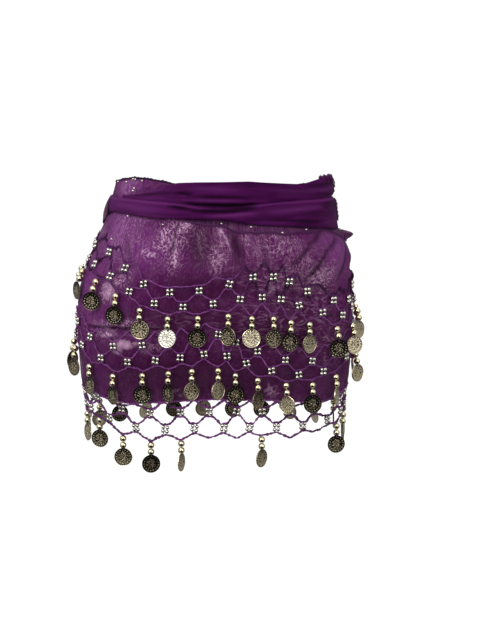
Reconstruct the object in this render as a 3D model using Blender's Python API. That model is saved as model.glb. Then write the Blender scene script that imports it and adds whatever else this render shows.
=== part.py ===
"""Belly dance hip scarf as it is worn: a chiffon wrap round a general hip form, held at the waist.

The origin is the centre of the waist opening. +Z is up and the front faces -Y. Sizes are in millimetres
and become metres in Sheet.build. A place on the garment is given by its turn, in degrees round the form
(0 at the centre front, 90 at the +X side, 180 at the centre back), by how far down it is from the waist,
and by how far out it lies from the chiffon's outer face.
"""

import math
import random
from collections import namedtuple

import bmesh
import bpy
from mathutils import Vector

MM = 0.001

# Driving sizes
CLOTH = 1.2  # wall of the chiffon, with its soft nap
SEAM = 0.3  # clearance between two pieces
LAYER = 0.6  # clearance under cloth that lies on cloth
CLOTH_LENGTH = 236.0  # waist to the chiffon's hem
BEAD = 7.6  # large bead
COIN = 20.4  # coin diameter
COIN_THICK = 1.2
STRAND = 1.8  # crocheted strand, height
STRAND_THICK = 1.3
LINK = 2.4  # strand's width where a bead hangs from it
CLUSTER = 8.4  # four small beads worked as a square
SQUARENESS = 2.2  # exponent of the form's cross-section, 2 for an ellipse

# The general hip form that holds the cloth out, from the waist down
Section = namedtuple("Section", "down half_width front back shift")
FORM = [
    Section(0, 120.7, 82, 80, -0.3),
    Section(25, 124, 86, 86, -4),
    Section(40, 126.5, 89, 90.5, -6),
    Section(55, 131.2, 92, 95, -6.7),
    Section(70, 140.5, 94.5, 99.5, -4.2),
    Section(85, 145.5, 97, 104, -3.8),
    Section(115, 153.5, 101, 111, -9),
    Section(145, 157, 103, 116, -10),
    Section(180, 157.5, 104, 118, -11),
    Section(215, 155, 103, 117, -11),
    Section(260, 150, 101, 113, -10.5),
    Section(300, 148, 100, 111, -10.5),
]

# Edges of the chiffon and of the rolled pleat, as distances down, by turn
Waist = namedtuple("Waist", "turn cloth_top pleat_top pleat_bottom")
WAIST = [
    Waist(-180, 20, 30, 52),
    Waist(-150, 19, 29, 53),
    Waist(-130, 14, 26, 55),
    Waist(-110, 10, 23, 56),
    Waist(-96, 8, 21.5, 55),
    Waist(-85, 6, 20.5, 50),
    Waist(-76, 4.5, 20, 40),
    Waist(-66, 1.7, 20, 36),
    Waist(-53, -1, 20.5, 37),
    Waist(-43, -0.8, 21, 38),
    Waist(-30, 1.8, 22, 39.5),
    Waist(-22, 5, 23, 40),
    Waist(-10, 8, 25, 40.5),
    Waist(2, 8, 26, 41),
    Waist(9, 8, 25.5, 44),
    Waist(20, 8, 23.5, 47),
    Waist(30, 8, 22, 48.5),
    Waist(45, 7, 21.5, 51),
    Waist(58, 4, 21.5, 54),
    Waist(70, 2, 21.5, 56),
    Waist(92, 3, 23, 58),
    Waist(110, 8, 24, 57),
    Waist(130, 14, 27, 55),
    Waist(150, 19, 29, 53),
    Waist(180, 20, 30, 52),
]

# Top of the sash's fan and bottom of its trimmed end, as distances down, by turn
Front = namedtuple("Front", "turn fan_top flap_bottom")
FRONT = [
    Front(-60, 18, 40),
    Front(-44, 14.3, 40),
    Front(-28, 6, 41),
    Front(-22, 1.6, 42),
    Front(-12, 0.7, 44.5),
    Front(0, 0.3, 46.5),
    Front(5, 0, 50.5),
    Front(11, -0.3, 55.5),
    Front(19.5, 1.1, 54),
    Front(29.5, 2.4, 57),
    Front(40, 3.7, 56.5),
    Front(46, 3.2, 56),
    Front(52, 1.2, 55.5),
    Front(58, -0.5, 55.5),
    Front(62, -2, 56),
    Front(68, -1.8, 57.5),
    Front(80, -1, 66),
    Front(92, 1.5, 74),
]

# Soft ridges raised in the chiffon between the sash and the first net
Fold = namedtuple("Fold", "turn lean down reach height width")
FOLDS = [
    Fold(-48, -0.10, 70, 34, 1.8, 9),
    Fold(-24, 0.06, 78, 30, 1.5, 10),
    Fold(-6, 0.02, 80, 34, 1.6, 9),
    Fold(14, -0.05, 76, 30, 1.4, 10),
    Fold(40, -0.25, 84, 30, 2.0, 9),
    Fold(62, -0.35, 82, 32, 2.2, 9),
    Fold(118, 0.20, 84, 30, 1.8, 9),
    Fold(150, 0.08, 80, 34, 1.6, 10),
    Fold(182, -0.04, 82, 32, 1.5, 10),
    Fold(214, -0.10, 80, 34, 1.8, 9),
    Fold(246, -0.20, 84, 30, 2.0, 9),
]

# The chiffon is wound a little more than once round. Its outer end lies over its inner end at the side.
ROUND_COLUMNS = 57
LAP_COLUMNS = 3
STEP = 360.0 / ROUND_COLUMNS
OUTER_END = 97.0
INNER_END = OUTER_END - (ROUND_COLUMNS + LAP_COLUMNS) * STEP
LEVELS = (25, 40, 55, 70, 85, 100, 115, 145, 180, 215, CLOTH_LENGTH)  # rows of the chiffon below its top
LAP_INSET = 2.2  # how far the inner end lies inside the outer end
LAP_EASE = 30.0  # degrees in which the inner layer comes out to the form
RUFFLE = 2.4  # depth of the waves along the outer end
RUFFLE_PITCH = 28.0
RUFFLE_HIGHEST, RUFFLE_LOWEST = 74.0, 102.0
END_SPACING = 6.0  # between the points of the waved end

# The sash: a rolled pleat all round, a fan of cloth above it and the trimmed end below it
PLEAT_SWELL = 3.2
FAN_SWELL = 1.8
FAN_FROM, FAN_TO = -60.0, 91.0
FLAP_FROM, FLAP_TO = -24.0, 91.0
FLAP_HIDDEN = 9.0  # how far the flap runs up under the pleat
FAN_HIDDEN = 4.0  # how far the fan runs down under the pleat
FLAP_TIP = 12.0  # how far the flap's free corner stands out
FLAP_FOLD = 0.45  # where it stands out most, as a share of the way down the flap

# Crocheted edging
TRIM_TALL = 2.6
PICOT = 0.9
SCALLOP = 2.2
SCALLOP_PITCH = 27.0

# The three nets. One row for each coin of the front, from its left end: where its thread starts across
# the front and down from the waist, how tall the net is above it, how far the coin turns about its
# thread, and whether there is a coin. The coins of the sides and back follow a rule.
Drop = namedtuple("Drop", "across down tall turned coin")
UPPER = [
    Drop(-153, 101, 26, 11, True),
    Drop(-135, 107.5, 28, 30, True),
    Drop(-115, 121, 26, 12, True),
    Drop(-89.5, 135, 24, 5, True),
    Drop(-59.5, 143, 24, -8, True),
    Drop(-27.5, 142, 25, 6, True),
    Drop(5, 139.5, 30, -38, True),
    Drop(30, 142.5, 40, 4, True),
    Drop(53, 143.5, 41, 18, True),
    Drop(71.5, 148.5, 40, 8, True),
    Drop(91.5, 152, 32, 14, True),
    Drop(120.5, 160, 27, -42, True),
    Drop(138.5, 161, 26, -35, True),
    Drop(145.5, 147, 26, -28, True),
]
MIDDLE = [
    Drop(-163.5, 188, 26, 24, True),
    Drop(-146.5, 204, 29, -8, True),
    Drop(-119.5, 210.5, 29, -22, True),
    Drop(-87.5, 207, 29, 12, True),
    Drop(-59, 203, 28, -42, True),
    Drop(-34, 200, 31, 42, True),
    Drop(-6, 199, 35, 48, True),
    Drop(12.5, 205, 32, 10, True),
    Drop(36, 210.5, 27, 44, True),
    Drop(66, 217.5, 23, -52, True),
    Drop(95, 220, 22, -20, True),
    Drop(120.5, 215, 22, 26, True),
    Drop(143.5, 197, 22, -32, True),
]
HEM = [
    Drop(-141, 266, 22.5, 30, True),
    Drop(-113, 282, 29, 25, True),
    Drop(-81, 286.5, 32, 25, True),
    Drop(-47, 283, 31, 78, True),
    Drop(-16, 280, 29, 0, False),
    Drop(14, 281, 30, 0, False),
    Drop(42, 279, 27, 42, True),
    Drop(73, 283, 29, 0, False),
    Drop(101, 280, 26, 0, False),
    Drop(128, 275.5, 24, -45, True),
    Drop(136, 266, 22.5, 20, True),
]
HIDDEN_DROPS = {"upper": 12, "middle": 12, "hem": 13}  # round the sides and back
HIDDEN_TURN = 35.0  # most that a hidden coin turns
NET_RISE = 10.0  # rise of a net's top row between two clusters
SHORT_NET = 24.0  # a net this tall has its lower clusters this far above the coins' threads:
SHORT_NET_DROP = 7.4
TALL_NET_SHARE = 0.68  # share of any further height that also lies below the lower clusters
COIN_OUT = 5.4  # centre of a coin that faces out, from the cloth
COIN_CLEAR = 3.3  # inner edge of a turned coin, from the cloth

PURPLE = (0.105, 0.012, 0.130, 1)
SASH_PURPLE = (0.075, 0.010, 0.100, 1)
THREAD_PURPLE = (0.090, 0.010, 0.120, 1)
OLD_GOLD = (0.42, 0.36, 0.20, 1)

Layer = namedtuple("Layer", "inner outer")
ON_CLOTH = Layer(1.3, 1.3 + STRAND_THICK)
BELOW_CLOTH = Layer(-CLOTH, -CLOTH + STRAND_THICK)


def smooth(share):
    """Eases from 0 to 1."""
    share = min(1.0, max(0.0, share))
    return share * share * (3 - 2 * share)


def read(table, at, column):
    """A column of a table, at a value of the table's first column."""
    if at <= table[0][0]:
        return getattr(table[0], column)
    for low, high in zip(table, table[1:]):
        if at <= high[0]:
            a, b = getattr(low, column), getattr(high, column)
            return a + (b - a) * (at - low[0]) / (high[0] - low[0])
    return getattr(table[-1], column)


def wrapped(turn):
    """The same turn between -180 and 180."""
    return (turn + 180) % 360 - 180


# ---- Places on the garment ----


def signed_power(value, exponent):
    return math.copysign(abs(value) ** exponent, value)


def form_place(turn, down):
    """The form's point at this turn and height, and the level direction straight out of it."""
    across, along = math.sin(math.radians(turn)), math.cos(math.radians(turn))
    half_width = read(FORM, down, "half_width")
    depth = read(FORM, down, "front" if along > 0 else "back")
    x = signed_power(across, 2 / SQUARENESS)
    y = -signed_power(along, 2 / SQUARENESS)
    slope = SQUARENESS - 1
    outward = Vector((signed_power(x, slope) / half_width, signed_power(y, slope) / depth, 0))
    point = Vector((read(FORM, down, "shift") + half_width * x, depth * y, -down))
    return point, outward.normalized()


def form_point(turn, down, out=0.0):
    point, outward = form_place(turn, down)
    return point + out * outward


def fold_height(turn, down):
    """How far the chiffon's soft ridges stand out here."""
    height = 0.0
    for fold in FOLDS:
        along = (down - fold.down) / fold.reach
        if abs(along) < 1:
            aside = wrapped(turn - fold.turn - fold.lean * (down - fold.down))
            height += fold.height * (1 - along * along) ** 2 * math.exp(-((aside / fold.width) ** 2))
    return height


def cloth_top(turn):
    return read(WAIST, wrapped(turn), "cloth_top")


def column_point(turn, down):
    """A point of the chiffon's outer face where one of its columns of points runs."""
    levels = (cloth_top(turn), *LEVELS)
    if down < levels[0]:
        return form_point(turn, down)
    for high, low in zip(levels, levels[1:]):
        if down <= low:
            break
    share = (down - high) / (low - high)
    upper = form_point(turn, high, fold_height(turn, high))
    return upper.lerp(form_point(turn, low, fold_height(turn, low)), share)


def rest_point(turn, down, out):
    """A point this far out from the chiffon's flat facets, or from the form below its hem."""
    if down > CLOTH_LENGTH:
        return form_point(turn, down, out)
    place = (turn - OUTER_END) / STEP
    column = math.floor(place)
    left = column_point(OUTER_END + column * STEP, down)
    right = column_point(OUTER_END + (column + 1) * STEP, down)
    return left.lerp(right, place - column) + out * form_place(turn, down)[1]


def degrees_for(length, turn, down):
    """The turn that covers this length round the form here."""
    step = 0.5
    return length * step / (form_point(turn + step, down) - form_point(turn, down)).length


def turn_across(across, down):
    """The turn of the front point that lies this far across."""
    x = (across - read(FORM, down, "shift")) / read(FORM, down, "half_width")
    return math.degrees(math.asin(signed_power(x, SQUARENESS / 2)))


def evenly_between(first, last, count, down):
    """Turns that part the way round from first to last into count + 1 equal lengths."""
    steps = 240
    turns = [first + (last - first) * i / steps for i in range(steps + 1)]
    points = [form_point(turn, down) for turn in turns]
    length = [0.0]
    for a, b in zip(points, points[1:]):
        length.append(length[-1] + (b - a).length)
    found, i = [], 0
    for k in range(1, count + 1):
        goal = length[-1] * k / (count + 1)
        while length[i + 1] < goal:
            i += 1
        share = (goal - length[i]) / (length[i + 1] - length[i])
        found.append(turns[i] + share * (turns[i + 1] - turns[i]))
    return found


def on_columns(first, last, per_column=1):
    """Turns from first to last on the chiffon's columns, or on even parts of the way between them."""
    step = STEP / per_column
    low = math.ceil((first - OUTER_END) / step)
    high = math.floor((last - OUTER_END) / step)
    return [OUTER_END + k * step for k in range(low, high + 1)]


class Sheet:
    """Cloth or strands as faces with a front and a back point at each corner, which build closes."""

    def __init__(self):
        self.fronts, self.backs, self.faces = [], [], []

    def corner(self, front, back):
        self.fronts.append(front)
        self.backs.append(back)
        return len(self.fronts) - 1

    def laid(self, turn, down, inner, outer):
        """A corner of something that lies over the chiffon."""
        return self.corner(rest_point(turn, down, outer), rest_point(turn, down, inner))

    def grid(self, columns, closed=False):
        """Faces between columns of corners, each column running down."""
        pairs = list(zip(columns, columns[1:]))
        if closed:
            pairs.append((columns[-1], columns[0]))
        for left, right in pairs:
            for i in range(len(left) - 1):
                self.faces.append((left[i], right[i], right[i + 1], left[i + 1]))

    def build(self, name, colour, metallic=0.0, roughness=0.7):
        edge_uses = {}
        for face in self.faces:
            for a, b in zip(face, face[1:] + face[:1]):
                edge_uses.setdefault(frozenset((a, b)), []).append((a, b))
        shape = bmesh.new()
        front = [shape.verts.new(p * MM) for p in self.fronts]
        back = [shape.verts.new(p * MM) for p in self.backs]
        for face in self.faces:
            shape.faces.new([front[i] for i in face])
            shape.faces.new([back[i] for i in reversed(face)])
        for used in edge_uses.values():
            if len(used) == 1:
                a, b = used[0]
                shape.faces.new((front[b], front[a], back[a], back[b]))
        bmesh.ops.recalc_face_normals(shape, faces=shape.faces)
        mesh = bpy.data.meshes.new(name)
        shape.to_mesh(mesh)
        shape.free()
        mesh.shade_smooth()
        mesh.set_sharp_from_angle(angle=math.radians(40))
        material = bpy.data.materials.new(name)
        material.use_nodes = True
        shader = material.node_tree.nodes["Principled BSDF"]
        shader.inputs["Base Color"].default_value = colour
        shader.inputs["Metallic"].default_value = metallic
        shader.inputs["Roughness"].default_value = roughness
        mesh.materials.append(material)
        piece = bpy.data.objects.new(name, mesh)
        bpy.context.scene.collection.objects.link(piece)
        return piece


# ---- The chiffon ----


def lap_inset(wound):
    """How far in the chiffon lies where its outer end passes over it."""
    return LAP_INSET * (1 - smooth((wound - OUTER_END + 360) / LAP_EASE))


def ruffle(down):
    """How far the waves of the outer end stand out."""
    if not RUFFLE_HIGHEST < down < RUFFLE_LOWEST:
        return 0.0
    return RUFFLE * abs(math.sin(math.pi * (down - RUFFLE_HIGHEST) / RUFFLE_PITCH))


def end_levels():
    """The distances down of the points along the waved outer end, the chiffon's own levels among them."""
    levels = [cloth_top(OUTER_END)]
    for low in LEVELS:
        parts = max(1, round((low - levels[-1]) / END_SPACING)) if low <= RUFFLE_LOWEST + 25 else 1
        high = levels[-1]
        levels += [high + (low - high) * k / parts for k in range(1, parts + 1)]
    return levels


def end_point(down, along=0.0, out=0.0):
    """A point on the outer end's face, moved on round the form and out."""
    step = 0.5
    forward = (form_point(OUTER_END + step, down) - form_point(OUTER_END, down)).normalized()
    outward = form_place(OUTER_END, down)[1]
    return column_point(OUTER_END, down) + forward * along + outward * (ruffle(down) + out)


def hip_panel():
    """The chiffon itself, one length wound round the hips with its ends lapped at the side."""
    sheet = Sheet()
    columns = []
    for i in range(ROUND_COLUMNS + LAP_COLUMNS):
        wound = INNER_END + STEP * i
        column = []
        for down in (cloth_top(wound), *LEVELS):
            out = fold_height(wound, down) - lap_inset(wound)
            column.append(sheet.corner(form_point(wound, down, out), form_point(wound, down, out - CLOTH)))
        columns.append(column)
    sheet.grid(columns)
    last, ends = columns[-1], end_levels()
    end = [sheet.corner(end_point(down), end_point(down, out=-CLOTH)) for down in ends]
    marks = [ends.index(level) for level in (ends[0], *LEVELS)]
    for i, (high, low) in enumerate(zip(marks, marks[1:])):
        sheet.faces.append((last[i], *end[high : low + 1], last[i + 1]))
    return sheet.build("hip_panel", PURPLE)


def top_trim():
    """Crocheted edging along the chiffon's waist edge, with a picot at every other point."""
    sheet = Sheet()
    columns = []
    for i in range(ROUND_COLUMNS + LAP_COLUMNS + 1):
        wound = INNER_END + STEP * i
        top = cloth_top(wound)
        out = -lap_inset(wound)
        column = []
        for down in (top - SEAM - TRIM_TALL - PICOT * (i % 2), top - SEAM):
            column.append(sheet.corner(form_point(wound, down, out), form_point(wound, down, out - CLOTH)))
        columns.append(column)
    sheet.grid(columns)
    return sheet.build("top_trim", THREAD_PURPLE, roughness=0.8)


def side_trim():
    """Crocheted edging down the chiffon's outer end, which waves with the cloth."""
    sheet = Sheet()
    columns = []
    for i, down in enumerate(end_levels()):
        far = SEAM + TRIM_TALL + PICOT * (i % 2)
        columns.append(
            [sheet.corner(end_point(down, along), end_point(down, along, -CLOTH)) for along in (far, SEAM)]
        )
    sheet.grid(columns)
    return sheet.build("side_trim", THREAD_PURPLE, roughness=0.8)


# ---- The sash ----


def over_flap(turn):
    """1 where the flap lies under the pleat, easing to 0 beyond it."""
    turn = wrapped(turn)
    return smooth((turn - FLAP_FROM + 16) / 14) * (1 - smooth((turn - FLAP_TO - 2) / 20))


def over_fan(turn):
    """1 where the fan runs down under the pleat, easing to 0 beyond it."""
    turn = wrapped(turn)
    return smooth((turn - FAN_FROM + 16) / 14) * (1 - smooth((turn - FAN_TO - 2) / 20))


def waist_sash():
    """The sash's rolled pleat, wound all the way round."""
    sheet = Sheet()
    columns = []
    for turn in on_columns(OUTER_END - 360 + STEP / 2, OUTER_END):
        top = read(WAIST, wrapped(turn), "pleat_top")
        bottom = read(WAIST, wrapped(turn), "pleat_bottom")
        swell = PLEAT_SWELL * min(1.0, (bottom - top) / 16)
        column = []
        for share in (0, 0.14, 0.42, 0.72, 1):
            under = over_fan(turn) * (1 - share) + over_flap(turn) * share
            inner = LAYER + (CLOTH + LAYER) * under + swell * math.sin(math.pi * share) ** 0.7
            column.append(sheet.laid(turn, top + (bottom - top) * share, inner, inner + CLOTH))
        columns.append(column)
    sheet.grid(columns, closed=True)
    return sheet.build("waist_sash", SASH_PURPLE, roughness=0.55)


def fan_rows(turn):
    """(how far down, how far out the inner face is) for the fan's visible rows."""
    bottom = read(WAIST, turn, "pleat_top") - 1
    top = min(read(FRONT, turn, "fan_top"), bottom - 2)
    swell = FAN_SWELL * min(1.0, (bottom - top) / 16)
    rows = []
    for share in (0, 0.18, 0.5, 0.82, 1):
        rows.append((top + (bottom - top) * share, LAYER + swell * math.sin(math.pi * share) ** 0.7))
    return rows


def sash_fan():
    """The upper fold of the sash, which spreads from the side towards its trimmed end."""
    sheet = Sheet()
    columns = []
    for turn in on_columns(FAN_FROM, FAN_TO):
        hidden = read(WAIST, turn, "pleat_top") + FAN_HIDDEN
        rows = fan_rows(turn) + [(hidden, LAYER)]
        columns.append([sheet.laid(turn, down, inner, inner + CLOTH) for down, inner in rows])
    sheet.grid(columns)
    return sheet.build("sash_fan", SASH_PURPLE, roughness=0.55)


def sash_trim():
    """Crocheted edging down the fan's end, at the side."""
    sheet = Sheet()
    end = on_columns(FAN_FROM, FAN_TO)[-1]
    columns = []
    for along in (SEAM, SEAM + TRIM_TALL):
        turn = end + degrees_for(along, end, 0)
        columns.append([sheet.laid(turn, down, inner, inner + CLOTH) for down, inner in fan_rows(end)])
    sheet.grid(columns)
    return sheet.build("sash_trim", THREAD_PURPLE, roughness=0.8)


def flap_edge(turn):
    """How far down the flap's scalloped edge is, and how far out the flap's inner face stands above it."""
    place = form_point(turn, 55).x
    scallop = SCALLOP * abs(math.sin(math.pi * place / SCALLOP_PITCH))
    lift = FLAP_TIP * smooth((turn - FLAP_TO + 13) / 13)
    return read(FRONT, turn, "flap_bottom") - SCALLOP + scallop, LAYER + lift


def end_flap():
    """The scarf's trimmed end, which shows under the sash."""
    sheet = Sheet()
    columns = []
    for turn in on_columns(FLAP_FROM, FLAP_TO, per_column=2):
        pleat = read(WAIST, turn, "pleat_bottom")
        bottom, inner = flap_edge(turn)
        middle = min(pleat + 0.8, bottom - 1)
        tip = middle + FLAP_FOLD * (bottom - middle)
        rows = [(pleat - FLAP_HIDDEN, LAYER), (middle, LAYER), (tip, inner), (bottom, LAYER)]
        column = [sheet.laid(turn, down, out, out + CLOTH) for down, out in rows]
        columns.append(column)
    sheet.grid(columns)
    return sheet.build("end_flap", SASH_PURPLE)


def flap_trim():
    """Crocheted edging along the flap."""
    sheet = Sheet()
    columns = []
    for turn in on_columns(FLAP_FROM, FLAP_TO, per_column=2):
        bottom = flap_edge(turn)[0]
        column = [
            sheet.laid(turn, down, LAYER, LAYER + CLOTH) for down in (bottom + SEAM, bottom + SEAM + 1.6)
        ]
        columns.append(column)
    sheet.grid(columns)
    return sheet.build("flap_trim", THREAD_PURPLE, roughness=0.8)


# ---- The nets ----

Column = namedtuple("Column", "turn down tall turned coin")


def net_columns(front, hidden, seed):
    """All the net's columns in order round the garment: the front's table, then the sides and back."""
    chance = random.Random(seed)
    columns = [Column(turn_across(d.across, d.down), d.down, d.tall, d.turned, d.coin) for d in front]
    first, last = columns[0], columns[-1]
    level = (first.down + last.down) / 2
    for k, turn in enumerate(evenly_between(last.turn, first.turn + 360, hidden, level)):
        share = smooth((k + 1) / (hidden + 1))
        down = last.down + (first.down - last.down) * share + chance.uniform(-1.5, 1.5)
        tall = last.tall + (first.tall - last.tall) * share + chance.uniform(-1, 1)
        columns.append(Column(turn, down, tall, chance.uniform(-HIDDEN_TURN, HIDDEN_TURN), True))
    return columns


class Net:
    """One net: zigzag rows of strand a, b and c from the top, with square bead clusters between them.

    At each column a cluster lies between a and b, and a coin hangs from c. Midway to the next column
    a cluster lies between b and c.
    """

    def __init__(self, columns, layer, hem_top=None):
        self.columns, self.layer, self.hem_top = columns, layer, hem_top

    def midway(self, i):
        """(turn, down, tall) midway between column i and the next."""
        a, b = self.columns[i], self.columns[(i + 1) % len(self.columns)]
        return a.turn + (b.turn - a.turn) % 360 / 2, (a.down + b.down) / 2, (a.tall + b.tall) / 2

    def heights(self, i):
        """How far down the three rows run at column i, and midway to the next."""
        column = self.columns[i]
        _, down, tall = self.midway(i)
        reach = (CLUSTER + STRAND) / 2
        upper = column.down - column.tall
        lower = down - SHORT_NET_DROP - TALL_NET_SHARE * (tall - SHORT_NET)
        top = self.hem_top or down - tall - reach - NET_RISE
        return (
            {"a": upper - reach, "b": upper + reach, "c": column.down},
            {"a": top, "b": lower - reach, "c": lower + reach},
        )

    def strand_end(self, sheet, turn, down):
        """A strand's upper and lower corners."""
        return [sheet.laid(turn, level, *self.layer) for level in (down - STRAND / 2, down + STRAND / 2)]

    def level_stretch(self, sheet, turn, down, width):
        """The left and right ends of a level stretch of strand."""
        half = degrees_for(width / 2, turn, down)
        return [self.strand_end(sheet, turn - half, down), self.strand_end(sheet, turn + half, down)]

    def row(self, sheet, name, span, width_at, width_mid, owns_ends=True):
        """One zigzag over a span of columns. It gives its level stretches at the columns and midways.

        A span that stops short of the whole round starts and ends midway between two columns. The net
        on one side owns the stretches there, and the other net's strand stops just short of them.
        """
        closed = len(span) == len(self.columns)
        ats, mids, path = {}, {}, []

        def add_midway(i, side):
            turn, _, _ = self.midway(i)
            down = self.heights(i)[1][name]
            if side and not owns_ends:
                away = degrees_for(CLUSTER / 2 + SEAM, turn, down)
                path.append(self.strand_end(sheet, turn + side * away, down))
            elif width_mid:
                mids[i] = self.level_stretch(sheet, turn, down, width_mid)
                path.extend(mids[i])
            else:
                path.append(self.strand_end(sheet, turn, down))

        if not closed:
            add_midway((span[0] - 1) % len(self.columns), 1)
        for i in span:
            ats[i] = self.level_stretch(sheet, self.columns[i].turn, self.heights(i)[0][name], width_at)
            path.extend(ats[i])
            add_midway(i, 0 if closed or i != span[-1] else -1)
        following = path[1:] + path[:1] if closed else path[1:]
        for (a, b), (c, d) in zip(path, following):
            sheet.faces.append((a, c, d, b))
        return ats, mids

    def build(self, name, span=None, owns_ends=True):
        """The net's upper two rows and all its clusters, all round or over a span of columns."""
        sheet = Sheet()
        span = span or list(range(len(self.columns)))
        a_at, _ = self.row(sheet, "a", span, CLUSTER, 0, owns_ends)
        b_at, b_mid = self.row(sheet, "b", span, CLUSTER, CLUSTER, owns_ends)
        for i in span:
            ((_, a), (_, b)), ((c, _), (d, _)) = a_at[i], b_at[i]
            sheet.faces.append((a, b, d, c))
        for i, ((_, a), (_, b)) in b_mid.items():
            c, d = self.foot(sheet, i, -1), self.foot(sheet, i, 1)
            sheet.faces.append((a, b, d, c))
        return sheet.build(name, THREAD_PURPLE, roughness=0.8)

    def foot(self, sheet, i, side):
        """A lower corner of the cluster midway after column i, just above row c, which it follows."""
        turn, _, _ = self.midway(i)
        down = self.heights(i)[1]["c"]
        root = self.columns[i if side < 0 else (i + 1) % len(self.columns)]
        half = degrees_for(CLUSTER / 2, turn, down)
        reach = abs(wrapped(root.turn - turn)) - degrees_for(LINK / 2, turn, down)
        rise = max(0.0, down - root.down) * half / reach
        return sheet.laid(turn + side * half, down - rise - STRAND / 2 - SEAM, *self.layer)

    def build_coins(self, name):
        """The net's third row with its coins, each on two beads."""
        sheet = Sheet()
        span = list(range(len(self.columns)))
        at, _ = self.row(sheet, "c", span, LINK, 0)
        for i in span:
            if self.columns[i].coin:
                Drops(self.columns[i], self.layer).hang(sheet, at[i])
        return sheet.build(name, OLD_GOLD, metallic=1.0, roughness=0.35)


class Drops:
    """Two beads and a coin on one thread."""

    def __init__(self, column, layer):
        self.column, self.on_cloth = column, layer is ON_CLOTH
        self.outward = form_place(column.turn, column.down)[1]
        self.sideways = Vector((-self.outward.y, self.outward.x, 0))
        middle = (layer.inner + layer.outer) / 2
        turned_edge = COIN / 2 * abs(math.sin(math.radians(column.turned)))
        self.bead_out = layer.inner + BEAD / 2 if self.on_cloth else middle
        self.coin_out = max(COIN_OUT, turned_edge + COIN_CLEAR) if self.on_cloth else middle
        self.top = STRAND / 2 + BEAD * 2  # from the strand's centre to the coin's rim

    def place(self, below, out):
        """A point below the strand: plumb, or pushed out by the cloth where that swells."""
        column = self.column
        start = form_point(column.turn, column.down, out)
        plumb = Vector((start.x, start.y, -(column.down + below)))
        if not self.on_cloth:
            return plumb
        resting = rest_point(column.turn, column.down + below, out)
        return resting if (resting - plumb).dot(self.outward) > 0 else plumb

    def ring(self, sheet, ends, below, half):
        """The thread or a bead at one level, joined to the two corners above it."""
        lean = (self.coin_out - self.bead_out) * below / self.top
        centre = self.place(below, self.bead_out + lean)
        pair = []
        for side in (-half, half):
            point = centre + self.sideways * side
            pair.append(sheet.corner(point + self.outward * half, point - self.outward * half))
        sheet.faces.append((ends[0], ends[1], pair[1], pair[0]))
        return pair

    def hang(self, sheet, root):
        ends = (root[0][1], root[1][1])
        start, fat, slim = STRAND / 2, BEAD * 0.43, LINK / 2
        ends = self.ring(sheet, ends, start + BEAD * 0.5, fat)
        ends = self.ring(sheet, ends, start + BEAD, slim)
        ends = self.ring(sheet, ends, start + BEAD * 1.5, fat)
        turned, radius = math.radians(self.column.turned), COIN / 2
        face = self.outward * math.cos(turned) + self.sideways * math.sin(turned)
        side = self.sideways * math.cos(turned) - self.outward * math.sin(turned)
        centre = self.place(self.top + radius, self.coin_out)
        link = math.degrees(math.asin(LINK / 2 / radius))
        rim = []
        for angle in (link, 45, 90, 135, 180, 225, 270, 315, 360 - link):
            across, rise = math.sin(math.radians(angle)), math.cos(math.radians(angle))
            point = centre + side * (radius * across) + Vector((0, 0, radius * rise))
            rim.append(sheet.corner(point + face * COIN_THICK / 2, point - face * COIN_THICK / 2))
        sheet.faces.append((ends[0], ends[1], rim[0], rim[-1]))
        sheet.faces.append(tuple(rim))


def main():
    for old in list(bpy.data.objects):
        bpy.data.objects.remove(old)
    hip_panel()
    top_trim()
    side_trim()
    waist_sash()
    sash_fan()
    sash_trim()
    end_flap()
    flap_trim()
    for name, front in (("upper", UPPER), ("middle", MIDDLE)):
        net = Net(net_columns(front, HIDDEN_DROPS[name], seed=name), ON_CLOTH)
        net.build("net_" + name)
        net.build_coins("coins_" + name)
    columns = net_columns(HEM, HIDDEN_DROPS["hem"], seed="hem")
    net = Net(columns, BELOW_CLOTH, hem_top=CLOTH_LENGTH + SEAM + STRAND / 2)
    net.build("net_hem_front", list(range(len(HEM))))
    net.build("net_hem_back", list(range(len(HEM), len(columns))), owns_ends=False)
    net.build_coins("coins_hem")


main()
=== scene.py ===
"""Looks of the belly dance hip scarf: its cloth, crochet, beads and coins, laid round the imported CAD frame.

Sizes are in millimetres and become metres in Mesh.build. A place on the garment is given by its turn, in
degrees round the form (0 at the centre front, 90 at the +X side, 180 at the centre back), by how far down
it is from the waist, and by how far out it lies from the chiffon's outer face.
"""

import math
import random
from collections import namedtuple

import bmesh
import bpy
import numpy as np
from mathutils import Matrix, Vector


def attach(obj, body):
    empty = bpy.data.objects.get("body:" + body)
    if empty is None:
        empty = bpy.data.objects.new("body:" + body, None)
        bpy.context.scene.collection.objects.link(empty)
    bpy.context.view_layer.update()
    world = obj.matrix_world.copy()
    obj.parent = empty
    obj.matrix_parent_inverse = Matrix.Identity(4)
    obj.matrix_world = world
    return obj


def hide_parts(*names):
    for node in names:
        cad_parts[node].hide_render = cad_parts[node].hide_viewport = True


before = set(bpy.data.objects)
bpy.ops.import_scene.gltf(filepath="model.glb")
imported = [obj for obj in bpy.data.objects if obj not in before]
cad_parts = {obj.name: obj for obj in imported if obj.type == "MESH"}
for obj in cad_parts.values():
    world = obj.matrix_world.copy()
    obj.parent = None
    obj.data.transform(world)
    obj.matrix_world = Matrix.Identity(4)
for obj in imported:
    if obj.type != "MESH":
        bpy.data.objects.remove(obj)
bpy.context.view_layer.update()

MM = 0.001

# ---- Sizes and tables that part.py has too, where each is explained ----

CLOTH = 1.2  # wall of the cloth in the CAD
LAYER = 0.6
CLOTH_LENGTH = 236.0
BEAD = 7.6
COIN = 20.4
COIN_THICK = 1.2
STRAND = 1.8
LINK = 2.4
CLUSTER = 8.4
SQUARENESS = 2.2  # exponent of the form's cross-section

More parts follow.
